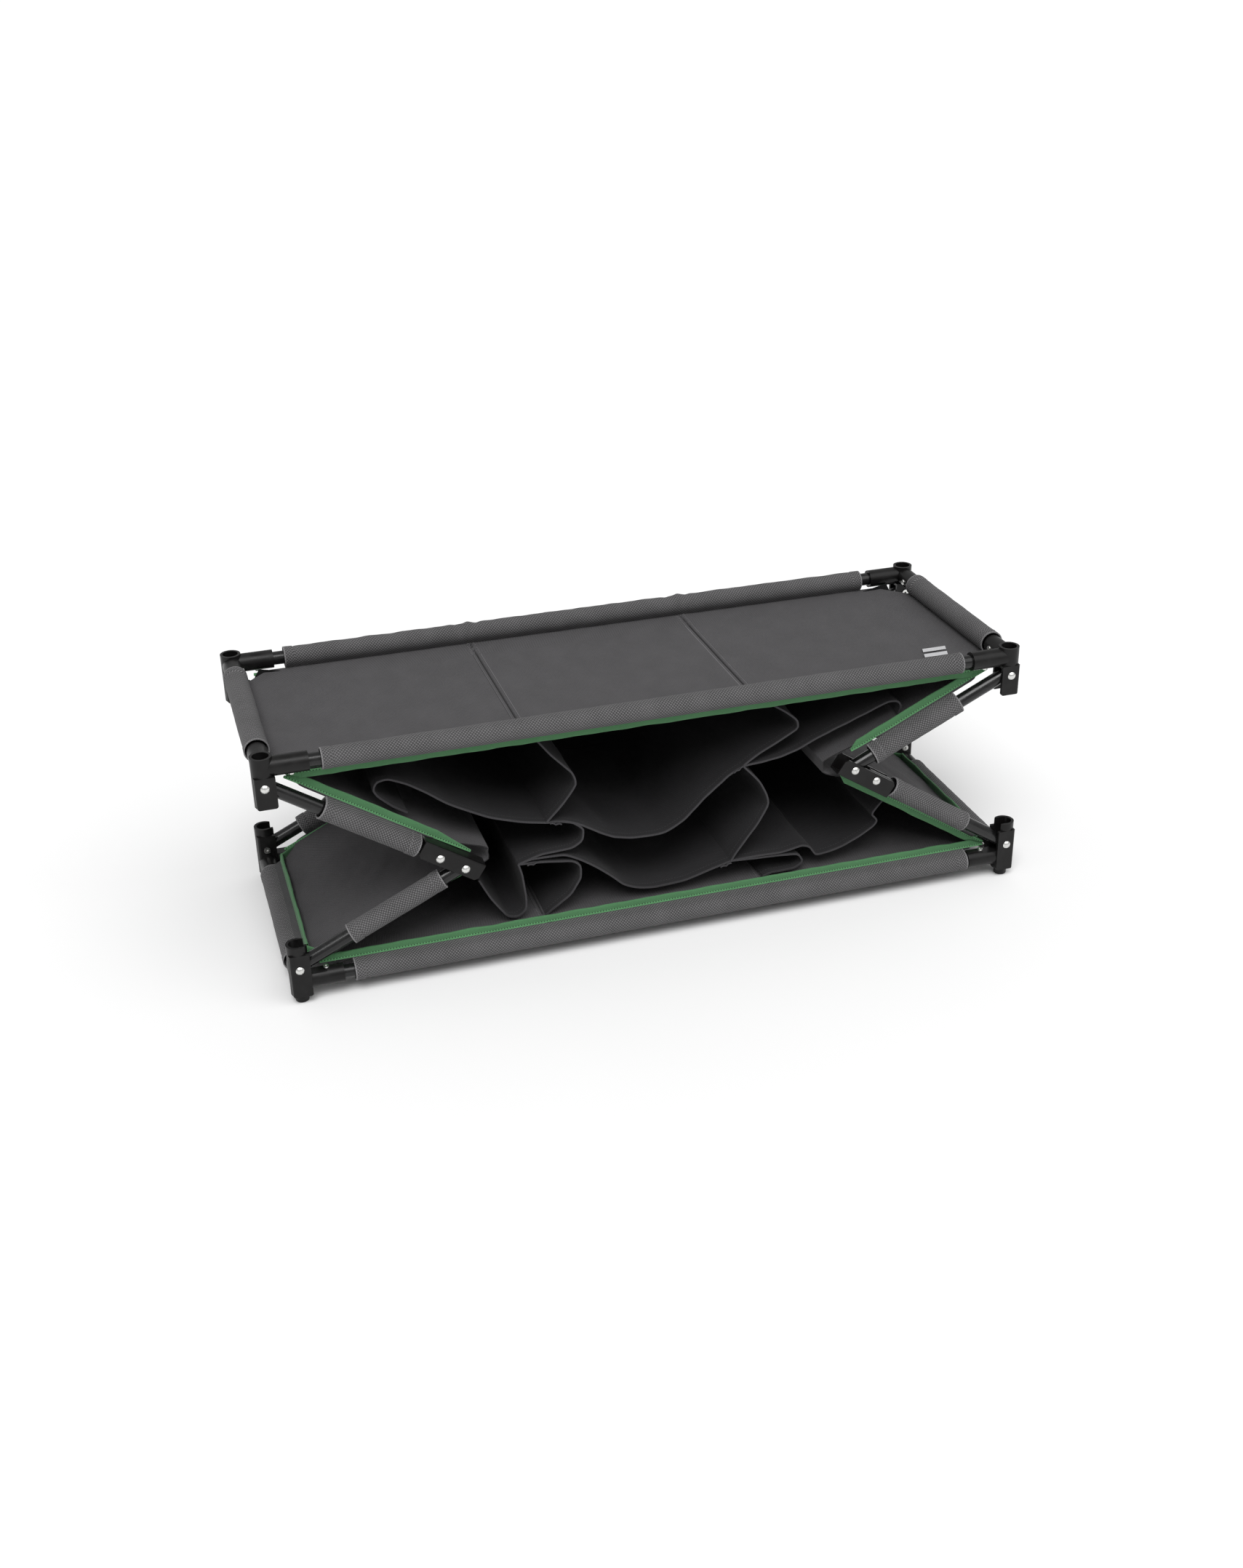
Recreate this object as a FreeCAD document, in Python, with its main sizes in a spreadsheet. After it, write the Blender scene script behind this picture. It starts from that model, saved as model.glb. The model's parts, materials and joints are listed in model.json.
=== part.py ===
"""Stackable folding camping cupboard, drawn half folded, in millimetres.

A top frame and a bottom frame of steel tube are joined by four knee-jointed legs.
Each leg is two tubes and a U-shaped knuckle. Fabric covers are sleeved over the
frames and legs, and a three by three fabric organiser hangs between them.
X runs along the width, Y to the back and Z up. The origin is on the floor, in the
middle of the four feet.
"""
import FreeCAD
import Part
import Sketcher
import math
import os

Vector = FreeCAD.Vector
Rotation = FreeCAD.Rotation
Placement = FreeCAD.Placement

DRIVING_SIZES = [
    ("width", 870.0, "post axis to post axis along X"),
    ("depth", 290.0, "post axis to post axis along Y"),
    ("pivot_height", 44.5, "bottom leg pivot above the floor"),
    ("peg_radius", 7.8, "foot peg that plugs into the unit below"),
    ("peg_height", 10.0, "foot peg length"),
    ("peg_round", 1.5, "rounded foot"),
    ("post_radius", 12.0, "round back of the corner posts"),
    ("cheek_reach", 12.0, "flat cheeks, from the post axis towards the inside"),
    ("cheek_back", 10.6, "flat cheeks, from the post axis towards the outside"),
    ("cheek_round", 3.0, "rounded outside and lower edges of the cheeks"),
    ("cheek_rise_top", 12.5, "cheeks of a top corner above its pivot"),
    ("cheek_rise_bottom", 19.0, "cheeks of a bottom corner above its pivot"),
    ("channel_gap", 17.0, "slot between the cheeks"),
    ("channel_end", 9.5, "closed end of the slot beyond the pivot"),
    ("channel_back", 8.4, "back of the slot, from the post axis"),
    ("channel_open", 30.0, "slot cut, from the post axis towards the inside"),
    ("mouth_radius", 8.8, "round top of a bottom post, where an upright leg stands"),
    ("bottom_rise", 29.0, "bottom post above its pivot"),
    ("frame_drop", 18.0, "bottom frame axis below its pivot"),
    ("top_rise", 34.0, "top post above its pivot"),
    ("top_drop", 24.0, "top clevis below its pivot"),
    ("frame_rise", 21.0, "top frame axis above its pivot"),
    ("stack_radius", 9.0, "socket for the peg of the unit above"),
    ("stack_depth", 18.0, "socket depth"),
    ("socket_radius", 11.0, "frame tube socket, outside"),
    ("socket_long", 49.0, "long side socket, from the post axis"),
    ("socket_short", 40.0, "short side socket, from the post axis"),
    ("socket_floor", 14.0, "socket floor, from the post axis"),
    ("tube_radius", 8.0, "all tubes, outside"),
    ("tube_wall", 1.3, "all tubes"),
    ("fit_gap", 0.05, "radial clearance of the pivots and sockets"),
    ("overlap", 0.5, "pieces run into each other, and cuts past a face, by this"),
    ("leg_length", 215.0, "frame pivot to knuckle rivet"),
    ("leg_tail", 10.0, "tube past the knuckle rivet that it is held by"),
    ("rivet_gap", 33.0, "between the two rivets of a knuckle"),
    ("shallow_angle", 25.5, "legs without a knuckle, above level"),
    ("steep_angle", 33.3, "legs with their knuckle in line, above level"),
    ("knuckle_near_end", 25.0, "knuckle past the rivet of the leg it rides"),
    ("knuckle_far_end", 19.0, "knuckle past its other rivet"),
    ("knuckle_web", 13.0, "rivet line to the outside of the web"),
    ("knuckle_lip", 8.0, "rivet line to the open edge"),
    ("knuckle_wall", 2.4, "sheet thickness of the knuckle"),
    ("knuckle_chamfer", 2.6, "cut corners on the open edge, across the cut"),
    ("knuckle_bend", 2.0, "outside radius of the bent sheet"),
    ("rivet_radius", 2.5, "rivet shank"),
    ("rivet_head_radius", 4.9, "domed head"),
    ("rivet_head_height", 2.6, "domed head"),
    ("rivet_tail_radius", 4.2, "rolled ring on the inner end"),
    ("rivet_tail_height", 1.2, "rolled ring on the inner end"),
    ("rivet_hollow_radius", 1.5, "hollow of the rolled ring"),
    ("screw_radius", 1.5, "frame screw shank"),
    ("screw_head_radius", 3.4, "pan head"),
    ("screw_head_height", 1.8, "pan head"),
    ("screw_seat", 0.6, "flat seat of a screw head, sunk into its socket"),
    ("screw_drive_radius", 1.2, "recess in the screw head"),
    ("screw_drive_depth", 0.8, "recess in the screw head"),
    ("screw_place", 30.0, "long side screw, from the post axis"),
    ("screw_place_short", 27.0, "short side screw, from the post axis"),
    ("cloth", 1.6, "fabric thickness, seams included"),
    ("cloth_gap", 0.4, "fabric clear of what it covers"),
    ("sleeve_long_start", 66.0, "long side sleeve, from the post axis"),
    ("sleeve_short_start", 46.0, "short side sleeve, from the post axis"),
    ("cover_offset", 11.6, "cover panel, from the frame axis"),
    ("cover_cut", 42.0, "cut corner of a cover, from the post axis"),
    ("leg_sleeve_start", 68.0, "leg sleeve, from the frame pivot"),
    ("leg_sleeve_end", 187.0, "leg sleeve, from the frame pivot"),
    ("panel_offset", 13.6, "side panel, from the leg axis"),
    ("panel_steep_end", 236.0, "side panel on the steep leg, from the pivot"),
    ("panel_shallow_end", 200.0, "side panel on the shallow leg, from the pivot"),
    ("knee_half_width", 130.0, "side panel between the knuckles"),
    ("binding_height", 7.0, "edge tape"),
    ("binding_inset", 12.0, "edge tape, in from the frame axis"),
    ("binding_gap", 0.2, "edge tape clear of its cover"),
    ("organiser_half_depth", 125.5, "dividers and shelves"),
    ("divider_left", -147.0, "left divider on the bottom cover"),
    ("divider_right", 125.0, "right divider on the bottom cover"),
    ("divider_foot", 46.0, "lowest fold line of the dividers"),
    ("shelf_level", 154.0, "shelf seam on a leg, from the frame pivot"),
    ("cloth_relief", 3.4, "fabric held back from its fold lines"),
    ("shelf_relief", 9.0, "middle shelf held back from its left fold line"),
    ("span_relief", 26.0, "right side shelf held back from its fold line"),
    ("back_strip_height", 158.0, "each strip of the back panel"),
    ("back_face", 130.4, "middle of the first back strip"),
    ("back_step", 1.8, "from one back strip to the next"),
    ("back_clear", 18.4, "edges of the back strips, from the leg axes"),
]

CLOSE = 1e-6  # millimetres, for comparing positions

doc = FreeCAD.newDocument("camping_cupboard")
sheet = doc.addObject("Spreadsheet::Sheet", "Sizes")
for row, (alias, number, meaning) in enumerate(DRIVING_SIZES, start=1):
    sheet.set("A%d" % row, alias)
    sheet.set("B%d" % row, str(number))
    sheet.set("C%d" % row, meaning)
    sheet.setAlias("B%d" % row, alias)
doc.recompute()

nodes = {}


def size(alias):
    """Return one driving size as a number."""
    return float(sheet.get(alias))


def keep(node, piece):
    """Name a finished piece and list it for export."""
    piece.Label = node
    nodes[node] = piece
    return piece


def cylinder(name, base, axis, radius, length):
    """Cylinder from base along axis; radius and length are sheet expressions."""
    piece = doc.addObject("Part::Cylinder", name)
    piece.setExpression("Radius", radius)
    piece.setExpression("Height", length)
    piece.Placement = Placement(base, Rotation(Vector(0, 0, 1), axis))
    return piece


def box(name, corner, length, width, height):
    """Box from its lowest corner; the three sizes are sheet expressions."""
    piece = doc.addObject("Part::Box", name)
    piece.setExpression("Length", length)
    piece.setExpression("Width", width)
    piece.setExpression("Height", height)
    piece.Placement = Placement(corner, Rotation())
    return piece


def joined(name, pieces):
    """Union of several pieces."""
    union = doc.addObject("Part::MultiFuse", name)
    union.Shapes = pieces
    return union


def cut(name, base, tools):
    """Base with every tool taken away."""
    result = doc.addObject("Part::Cut", name)
    result.Base = base
    result.Tool = tools[0] if len(tools) == 1 else joined(name + "_tools", tools)
    return result


def grouped(name, pieces):
    """Separate solids kept side by side in one object."""
    group = doc.addObject("Part::Compound", name)
    group.Links = pieces
    return group


def rounded(name, base, radius, wanted):
    """Fillet of the edges of base that the test wanted accepts."""
    doc.recompute()
    chosen = [n for n, edge in enumerate(base.Shape.Edges, start=1) if wanted(edge)]
    result = doc.addObject("Part::Fillet", name)
    result.Base = base
    result.Edges = [(n, radius, radius) for n in chosen]
    return result


def outline_body(name, plane, points, length, offset=0.0, midplane=False):
    """Body padded from a closed outline whose points are pairs of sheet expressions."""
    body = doc.addObject("PartDesign::Body", name)
    plane_object = [item for item in body.Origin.OriginFeatures if item.Role == plane][0]
    sketch = body.newObject("Sketcher::SketchObject", name + "_outline")
    sketch.AttachmentSupport = [(plane_object, "")]
    sketch.MapMode = "FlatFace"
    sketch.AttachmentOffset = Placement(Vector(0, 0, offset), Rotation())
    corners = [Vector(evaluated(x), evaluated(y), 0) for x, y in points]
    count = len(corners)
    for n in range(count):
        sketch.addGeometry(Part.LineSegment(corners[n], corners[(n + 1) % count]))
    for n in range(count):
        sketch.addConstraint(Sketcher.Constraint("Coincident", n, 2, (n + 1) % count, 1))
    for n, (x, y) in enumerate(points):
        for kind, expression, value in (("DistanceX", x, corners[n].x), ("DistanceY", y, corners[n].y)):
            index = sketch.addConstraint(Sketcher.Constraint(kind, -1, 1, n, 1, value))
            sketch.setExpression("Constraints[%d]" % index, expression)
    pad = body.newObject("PartDesign::Pad", name + "_pad")
    pad.Profile = sketch
    pad.setExpression("Length", length)
    pad.Midplane = midplane
    return body


def evaluated(expression):
    """Value of a sheet expression, for the first position of a sketch point."""
    return float(sheet.evalExpression(expression))


# ---------------------------------------------------------------------------
# Where things are at rest, worked out from the driving sizes
# ---------------------------------------------------------------------------
HALF_WIDTH = size("width") / 2
HALF_DEPTH = size("depth") / 2
SHALLOW = math.radians(size("shallow_angle"))
STEEP = math.radians(size("steep_angle"))
STEEP_LENGTH = size("leg_length") + size("rivet_gap")
LIFT = size("leg_length") * math.sin(SHALLOW) + STEEP_LENGTH * math.sin(STEEP)
SHIFT = size("leg_length") * math.cos(SHALLOW) - STEEP_LENGTH * math.cos(STEEP)
BOTTOM_PIVOT = size("pivot_height")
TOP_PIVOT = BOTTOM_PIVOT + LIFT
BOTTOM_FRAME = BOTTOM_PIVOT - size("frame_drop")
TOP_FRAME = TOP_PIVOT + size("frame_rise")

SIDES = (("left", -1), ("right", 1))
ENDS = (("front", -1), ("back", 1))


def along_y(angle_degrees, origin):
    """Placement that turns a piece about Y and puts its local origin at origin."""
    return Placement(origin, Rotation(Vector(0, 1, 0), angle_degrees))


# Local frames of the four pairs of legs: X runs down the leg from its frame pivot.
LEG_FRAMES = {
    "left_lower": along_y(-size("shallow_angle"), Vector(-HALF_WIDTH, 0, BOTTOM_PIVOT)),
    "left_upper": along_y(size("steep_angle"), Vector(-HALF_WIDTH + SHIFT, 0, TOP_PIVOT)),
    "right_lower": along_y(180 + size("steep_angle"), Vector(HALF_WIDTH, 0, BOTTOM_PIVOT)),
    "right_upper": along_y(180 - size("shallow_angle"), Vector(HALF_WIDTH + SHIFT, 0, TOP_PIVOT)),
}
STEEP_LEGS = ("left_upper", "right_lower")


# ---------------------------------------------------------------------------
# Corner fittings
# ---------------------------------------------------------------------------
def corner_fitting(node, x, y, inward_x, inward_y, pivot, is_top):
    """Moulded corner: post, two tube sockets, leg slot, and a peg or a socket."""
    radius = size("post_radius")
    low = pivot - size("top_drop") if is_top else size("peg_height")
    below = "Sizes.top_drop" if is_top else "(Sizes.pivot_height - Sizes.peg_height)"
    rise = "Sizes.top_rise" if is_top else "Sizes.bottom_rise"
    cheek_rise = "Sizes.cheek_rise_top" if is_top else "Sizes.cheek_rise_bottom"
    frame = TOP_FRAME if is_top else BOTTOM_FRAME
    reach, back = size("cheek_reach"), size("cheek_back")
    left_edge = x - back if inward_x > 0 else x - reach
    up = Vector(0, 0, 1)
    post = cylinder(node + "_post", Vector(x, y, low), up, "Sizes.post_radius", "%s + %s" % (below, rise))
    cheeks = box(node + "_cheeks", Vector(left_edge, y - radius, low),
                 "Sizes.cheek_reach + Sizes.cheek_back", "2 * Sizes.post_radius",
                 "%s + %s" % (below, cheek_rise))
    block = rounded(node + "_block", cheeks, size("cheek_round"),
                    lambda edge: is_outer_upright(edge, x, inward_x) or is_level_along_y(edge, low))
    sockets = [
        cylinder(node + "_long_socket", Vector(x, y, frame), Vector(inward_x, 0, 0),
                 "Sizes.socket_radius", "Sizes.socket_long"),
        cylinder(node + "_short_socket", Vector(x, y, frame), Vector(0, inward_y, 0),
                 "Sizes.socket_radius", "Sizes.socket_short"),
    ]
    solid = [post, block] + sockets
    bore = "Sizes.tube_radius + Sizes.fit_gap"
    floor = size("socket_floor")
    tools = [
        cylinder(node + "_long_bore", Vector(x + inward_x * floor, y, frame), Vector(inward_x, 0, 0),
                 bore, "Sizes.socket_long"),
        cylinder(node + "_short_bore", Vector(x, y + inward_y * floor, frame), Vector(0, inward_y, 0),
                 bore, "Sizes.socket_long"),
        cylinder(node + "_rivet_hole", Vector(x, y - 2 * radius, pivot), Vector(0, 1, 0),
                 "Sizes.rivet_radius", "4 * Sizes.post_radius"),
    ]
    tools += leg_slot(node, x, y, inward_x, low, pivot, is_top)
    tools += screw_holes(node, x, y, inward_x, inward_y, frame, is_top)
    if is_top:
        mouth = pivot + size("top_rise") - size("stack_depth")
        tools.append(cylinder(node + "_stack_socket", Vector(x, y, mouth), up,
                              "Sizes.stack_radius", "Sizes.stack_depth + Sizes.overlap"))
    else:
        peg = cylinder(node + "_peg_blank", Vector(x, y, 0), up, "Sizes.peg_radius",
                       "Sizes.peg_height + Sizes.overlap")
        solid.append(rounded(node + "_peg", peg, size("peg_round"), lambda edge: is_round_at(edge, 0.0)))
    return keep(node, cut(node, joined(node + "_solid", solid), tools))


def leg_slot(node, x, y, inward_x, low, pivot, is_top):
    """Slot that a leg end swings in; a bottom post is also open and round above it."""
    gap, end = size("channel_gap"), size("channel_end")
    overlap = size("overlap")
    back = x - size("channel_back") if inward_x > 0 else x - size("channel_open")
    slot_low = low - overlap if is_top else pivot - end
    slot_tall = "Sizes.top_drop + Sizes.channel_end + Sizes.overlap" if is_top else "2 * Sizes.channel_end"
    tools = [box(node + "_slot", Vector(back, y - gap / 2, slot_low),
                 "Sizes.channel_back + Sizes.channel_open", "Sizes.channel_gap", slot_tall)]
    if not is_top:
        mouth_low = pivot + end - overlap
        mouth_tall = "Sizes.bottom_rise - Sizes.channel_end + 2 * Sizes.overlap"
        tools.append(cylinder(node + "_mouth", Vector(x, y, mouth_low), Vector(0, 0, 1),
                              "Sizes.mouth_radius", mouth_tall))
        side = x if inward_x > 0 else x - size("channel_open")
        tools.append(box(node + "_mouth_side", Vector(side, y - gap / 2, mouth_low),
                         "Sizes.channel_open", "Sizes.channel_gap", mouth_tall))
    return tools


def is_outer_upright(edge, x, inward_x):
    """True for a straight edge along Z on the outside of a post axis."""
    return is_vertical(edge) and (edge.CenterOfMass.x - x) * inward_x < 0


def is_level_along_y(edge, level):
    """True for a straight edge along Y at one height."""
    ends = edge.Vertexes
    if len(ends) != 2 or abs(edge.CenterOfMass.z - level) > CLOSE:
        return False
    step = ends[1].Point - ends[0].Point
    return abs(step.x) < CLOSE and abs(step.z) < CLOSE


def is_vertical(edge):
    """True for a straight edge along Z."""
    ends = edge.Vertexes
    if len(ends) != 2:
        return False
    step = ends[1].Point - ends[0].Point
    return abs(step.x) < CLOSE and abs(step.y) < CLOSE


def is_round_at(edge, level):
    """True for a closed circular edge at one height."""
    return len(edge.Vertexes) == 1 and abs(edge.CenterOfMass.z - level) < CLOSE


def screw_holes(node, x, y, inward_x, inward_y, frame, is_top):
    """Shank holes through the inner wall of both sockets of a corner."""
    side = Vector(0, 0, -1 if is_top else 1)
    holes = []
    seat = size("socket_radius") - size("screw_seat")
    for n, (base, axis) in enumerate(screw_places(x, y, inward_x, inward_y, frame, side)):
        holes.append(cylinder("%s_screw_hole_%d" % (node, n), base, axis,
                              "Sizes.screw_radius", "Sizes.socket_radius + Sizes.screw_head_height"))
        holes.append(cylinder("%s_screw_seat_%d" % (node, n), base + axis * seat, axis,
                              "Sizes.screw_head_radius + Sizes.fit_gap", "Sizes.screw_head_height"))
    return holes


def screw_places(x, y, inward_x, inward_y, frame, side):
    """Start on the tube axis, and direction, of the two screws of one corner."""
    on_long = Vector(x + inward_x * size("screw_place"), y, frame)
    on_short = Vector(x, y + inward_y * size("screw_place_short"), frame)
    return [(on_long, side), (on_short, Vector(inward_x, 0, 0))]


# ---------------------------------------------------------------------------
# Fasteners
# ---------------------------------------------------------------------------
def dome(name, base, axis, radius, height):
    """Spherical cap with its flat side at base."""
    ball = (radius ** 2 + height ** 2) / (2 * height)
    cap = doc.addObject("Part::Sphere", name)
    cap.Radius = ball
    cap.Angle1 = math.degrees(math.asin((ball - height) / ball))
    cap.Placement = Placement(base - axis * (ball - height), Rotation(Vector(0, 0, 1), axis))
    return cap


def rivet(name, centre, outward, half_grip):
    """Rivet along Y: domed head on the outside, rolled hollow ring on the inside."""
    head_face = centre + outward * half_grip
    tail_face = centre - outward * half_grip
    tail_tall = size("rivet_tail_height")
    shank = cylinder(name + "_shank", tail_face - outward * tail_tall, outward,
                     "Sizes.rivet_radius", "%f" % (2 * half_grip + tail_tall + size("overlap")))
    ring = cylinder(name + "_ring", tail_face, -outward, "Sizes.rivet_tail_radius",
                    "Sizes.rivet_tail_height")
    head = dome(name + "_head", head_face, outward, size("rivet_head_radius"), size("rivet_head_height"))
    body = joined(name + "_body", [shank, ring, head])
    hollow = cylinder(name + "_hollow", tail_face - outward * (tail_tall + size("overlap")), outward,
                      "Sizes.rivet_hollow_radius", "2 * Sizes.rivet_tail_height + Sizes.overlap")
    return cut(name, body, [hollow])


def screw(name, base, axis):
    """Pan head screw standing on a socket, its shank through socket and tube."""
    seat = size("socket_radius") - size("screw_seat")
    tip = size("tube_radius") - 2 * size("tube_wall")
    shank = cylinder(name + "_shank", base + axis * tip, axis, "Sizes.screw_radius",
                     "Sizes.socket_radius - Sizes.tube_radius + 2 * Sizes.tube_wall")
    head = cylinder(name + "_pan", base + axis * seat, axis, "Sizes.screw_head_radius",
                    "Sizes.screw_head_height")
    recess = seat + size("screw_head_height") - size("screw_drive_depth")
    drive = cylinder(name + "_drive", base + axis * recess, axis, "Sizes.screw_drive_radius",
                     "2 * Sizes.screw_drive_depth")
    return cut(name, joined(name + "_blank", [shank, head]), [drive])


def frame_fasteners(level, shift, pivot, frame, is_top):
    """Four pivot rivets and eight socket screws of one frame."""
    side = Vector(0, 0, -1 if is_top else 1)
    pieces = []
    for side_name, sx in SIDES:
        for end_name, sy in ENDS:
            tag = "%s_%s_%s" % (level, end_name, side_name)
            x, y = sx * HALF_WIDTH + shift, sy * HALF_DEPTH
            pieces.append(rivet(tag + "_rivet", Vector(x, y, pivot), Vector(0, sy, 0), size("post_radius")))
            for n, (base, axis) in enumerate(screw_places(x, y, -sx, -sy, frame, side)):
                pieces.append(screw("%s_screw_%d" % (tag, n), base, axis))
    return keep(level + "_rivets_and_screws", grouped(level + "_fasteners", pieces))


# ---------------------------------------------------------------------------
# Frames
# ---------------------------------------------------------------------------
def frame_tube(name, centre, axis, half_length, screws_on):
    """Tube between two sockets, with the four screw holes that hold it."""
    start = centre - axis * half_length
    length = "%f" % (2 * half_length)
    outside = cylinder(name + "_outside", start, axis, "Sizes.tube_radius", length)
    inside = cylinder(name + "_inside", start, axis, "Sizes.tube_radius - Sizes.tube_wall", length)
    holes = []
    for n, (base, direction) in enumerate(screws_on):
        holes.append(cylinder("%s_hole_%d" % (name, n), base, direction, "Sizes.screw_radius",
                              "Sizes.socket_radius"))
    return cut(name, outside, [inside] + holes)


def frame(level, shift, pivot, frame_height, is_top):
    """Four corners, four tubes and the fasteners of the top or bottom frame."""
    side = Vector(0, 0, -1 if is_top else 1)
    floor = size("socket_floor")
    for side_name, sx in SIDES:
        for end_name, sy in ENDS:
            corner_fitting("%s_corner_%s_%s" % (level, end_name, side_name), sx * HALF_WIDTH + shift,
                           sy * HALF_DEPTH, -sx, -sy, pivot, is_top)
    for end_name, sy in ENDS:
        screws = [screw_places(sx * HALF_WIDTH + shift, sy * HALF_DEPTH, -sx, -sy, frame_height, side)[0]
                  for _, sx in SIDES]
        tube = frame_tube("%s_tube_%s" % (level, end_name), Vector(shift, sy * HALF_DEPTH, frame_height),
                          Vector(1, 0, 0), HALF_WIDTH - floor, screws)
        keep("%s_tube_%s" % (level, end_name), tube)
    side_tubes = []
    for side_name, sx in SIDES:
        x = sx * HALF_WIDTH + shift
        screws = [screw_places(x, sy * HALF_DEPTH, -sx, -sy, frame_height, side)[1] for _, sy in ENDS]
        side_tubes.append(frame_tube("%s_tube_%s" % (level, side_name), Vector(x, 0, frame_height),
                                     Vector(0, 1, 0), HALF_DEPTH - floor, screws))
    keep(level + "_side_tubes", grouped(level + "_side_tubes", side_tubes))
    frame_fasteners(level, shift, pivot, frame_height, is_top)


# ---------------------------------------------------------------------------
# Legs and knuckles, each in the local frame of its leg
# ---------------------------------------------------------------------------
def leg_tube(node, y, has_knuckle):
    """Leg tube with rounded ends about its pivots and a hole for each rivet."""
    length, radius, tail = size("leg_length"), size("tube_radius"), size("leg_tail")
    reach = length + tail if has_knuckle else length + radius
    blank_length = "%f" % (reach + radius)
    start = Vector(-radius, y, 0)
    outside = cylinder(node + "_outside", start, Vector(1, 0, 0), "Sizes.tube_radius", blank_length)
    inside = cylinder(node + "_inside", start, Vector(1, 0, 0), "Sizes.tube_radius - Sizes.tube_wall",
                      blank_length)
    pipe = cut(node + "_pipe", outside, [inside])
    straight = "Sizes.leg_length + Sizes.leg_tail" if has_knuckle else "Sizes.leg_length"
    pieces = [
        box(node + "_middle", Vector(0, y - radius, -radius), straight, "2 * Sizes.tube_radius",
            "2 * Sizes.tube_radius"),
        cylinder(node + "_near_end", Vector(0, y - radius, 0), Vector(0, 1, 0), "Sizes.tube_radius",
                 "2 * Sizes.tube_radius"),
    ]
    if not has_knuckle:
        pieces.append(cylinder(node + "_far_end", Vector(length, y - radius, 0), Vector(0, 1, 0),
                               "Sizes.tube_radius", "2 * Sizes.tube_radius"))
    shaped = doc.addObject("Part::Common", node + "_shaped")
    shaped.Base = pipe
    shaped.Tool = joined(node + "_envelope", pieces)
    holes = [cylinder("%s_hole_%d" % (node, n), Vector(place, y - 2 * radius, 0), Vector(0, 1, 0),
                      "Sizes.rivet_radius + Sizes.fit_gap", "4 * Sizes.tube_radius")
             for n, place in enumerate((0, length))]
    return cut(node, shaped, holes)


def knuckle(node, y):
    """U-shaped knuckle with two rivet holes; its web is on the inner side of the knee."""
    half = "(Sizes.channel_gap / 2 + Sizes.knuckle_wall)"
    inner = "(Sizes.channel_gap / 2)"
    web, lip = "Sizes.knuckle_web", "-Sizes.knuckle_lip"
    web_face = "(Sizes.knuckle_web - Sizes.knuckle_wall)"
    outline = [("-" + half, lip), ("-" + half, web), (half, web), (half, lip), (inner, lip),
               (inner, web_face), ("-" + inner, web_face), ("-" + inner, lip)]
    near = size("leg_length") - size("knuckle_near_end")
    far = STEEP_LENGTH + size("knuckle_far_end")
    blank = outline_body(node + "_channel", "YZ_Plane", outline,
                         "Sizes.rivet_gap + Sizes.knuckle_near_end + Sizes.knuckle_far_end", offset=near)
    blank.Placement = Placement(Vector(0, y, 0), Rotation())
    soft = rounded(node + "_bent", blank, size("knuckle_bend"), lambda edge: runs_along_x(edge) and
                   abs(edge.CenterOfMass.z - size("knuckle_web")) < CLOSE)
    corner, wide = size("knuckle_chamfer"), 2 * size("tube_radius")
    tools = []
    for n, place in enumerate((near, far)):
        tool = box("%s_corner_%d" % (node, n), Vector(-corner, -wide, -corner),
                   "2 * Sizes.knuckle_chamfer", "4 * Sizes.tube_radius", "2 * Sizes.knuckle_chamfer")
        turned = Placement(Vector(place, y, -size("knuckle_lip")), Rotation(Vector(0, 1, 0), 45))
        tool.Placement = turned * tool.Placement
        tools.append(tool)
    for n, place in enumerate((size("leg_length"), STEEP_LENGTH)):
        tools.append(cylinder("%s_hole_%d" % (node, n), Vector(place, y - wide, 0), Vector(0, 1, 0),
                              "Sizes.rivet_radius", "4 * Sizes.tube_radius"))
    return cut(node, soft, tools)


def runs_along_x(edge):
    """True for a straight edge along X."""
    ends = edge.Vertexes
    if len(ends) != 2:
        return False
    step = ends[1].Point - ends[0].Point
    return abs(step.y) < CLOSE and abs(step.z) < CLOSE


def legs(leg):
    """Front and back tube of one pair of legs, and its knuckles if it carries them."""
    has_knuckle = leg in STEEP_LEGS
    side = leg.split("_")[0]
    rivets = []
    for end_name, sy in ENDS:
        y = sy * HALF_DEPTH
        tube = keep("%s_leg_%s" % (leg, end_name), leg_tube("%s_leg_%s" % (leg, end_name), y, has_knuckle))
        tube.Placement = LEG_FRAMES[leg]
        if has_knuckle:
            piece = keep("%s_knuckle_%s" % (side, end_name), knuckle("%s_knuckle_%s" % (side, end_name), y))
            piece.Placement = LEG_FRAMES[leg]
            grip = size("channel_gap") / 2 + size("knuckle_wall")
            for n, place in enumerate((size("leg_length"), STEEP_LENGTH)):
                name = "%s_%s_knuckle_rivet_%d" % (side, end_name, n)
                rivets.append(rivet(name, Vector(place, y, 0), Vector(0, sy, 0), grip))
    if has_knuckle:
        group = keep(side + "_knuckle_rivets", grouped(side + "_knuckle_rivets", rivets))
        group.Placement = LEG_FRAMES[leg]


# ---------------------------------------------------------------------------
# Fabric
# ---------------------------------------------------------------------------
def sleeve(name, start, axis, length):
    """Fabric tube round a steel tube; length is a sheet expression."""
    outside = cylinder(name + "_outside", start, axis, "Sizes.tube_radius + Sizes.cloth_gap + Sizes.cloth",
                       length)
    inside = cylinder(name + "_inside", start, axis, "Sizes.tube_radius + Sizes.cloth_gap", length)
    return cut(name, outside, [inside])


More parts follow.
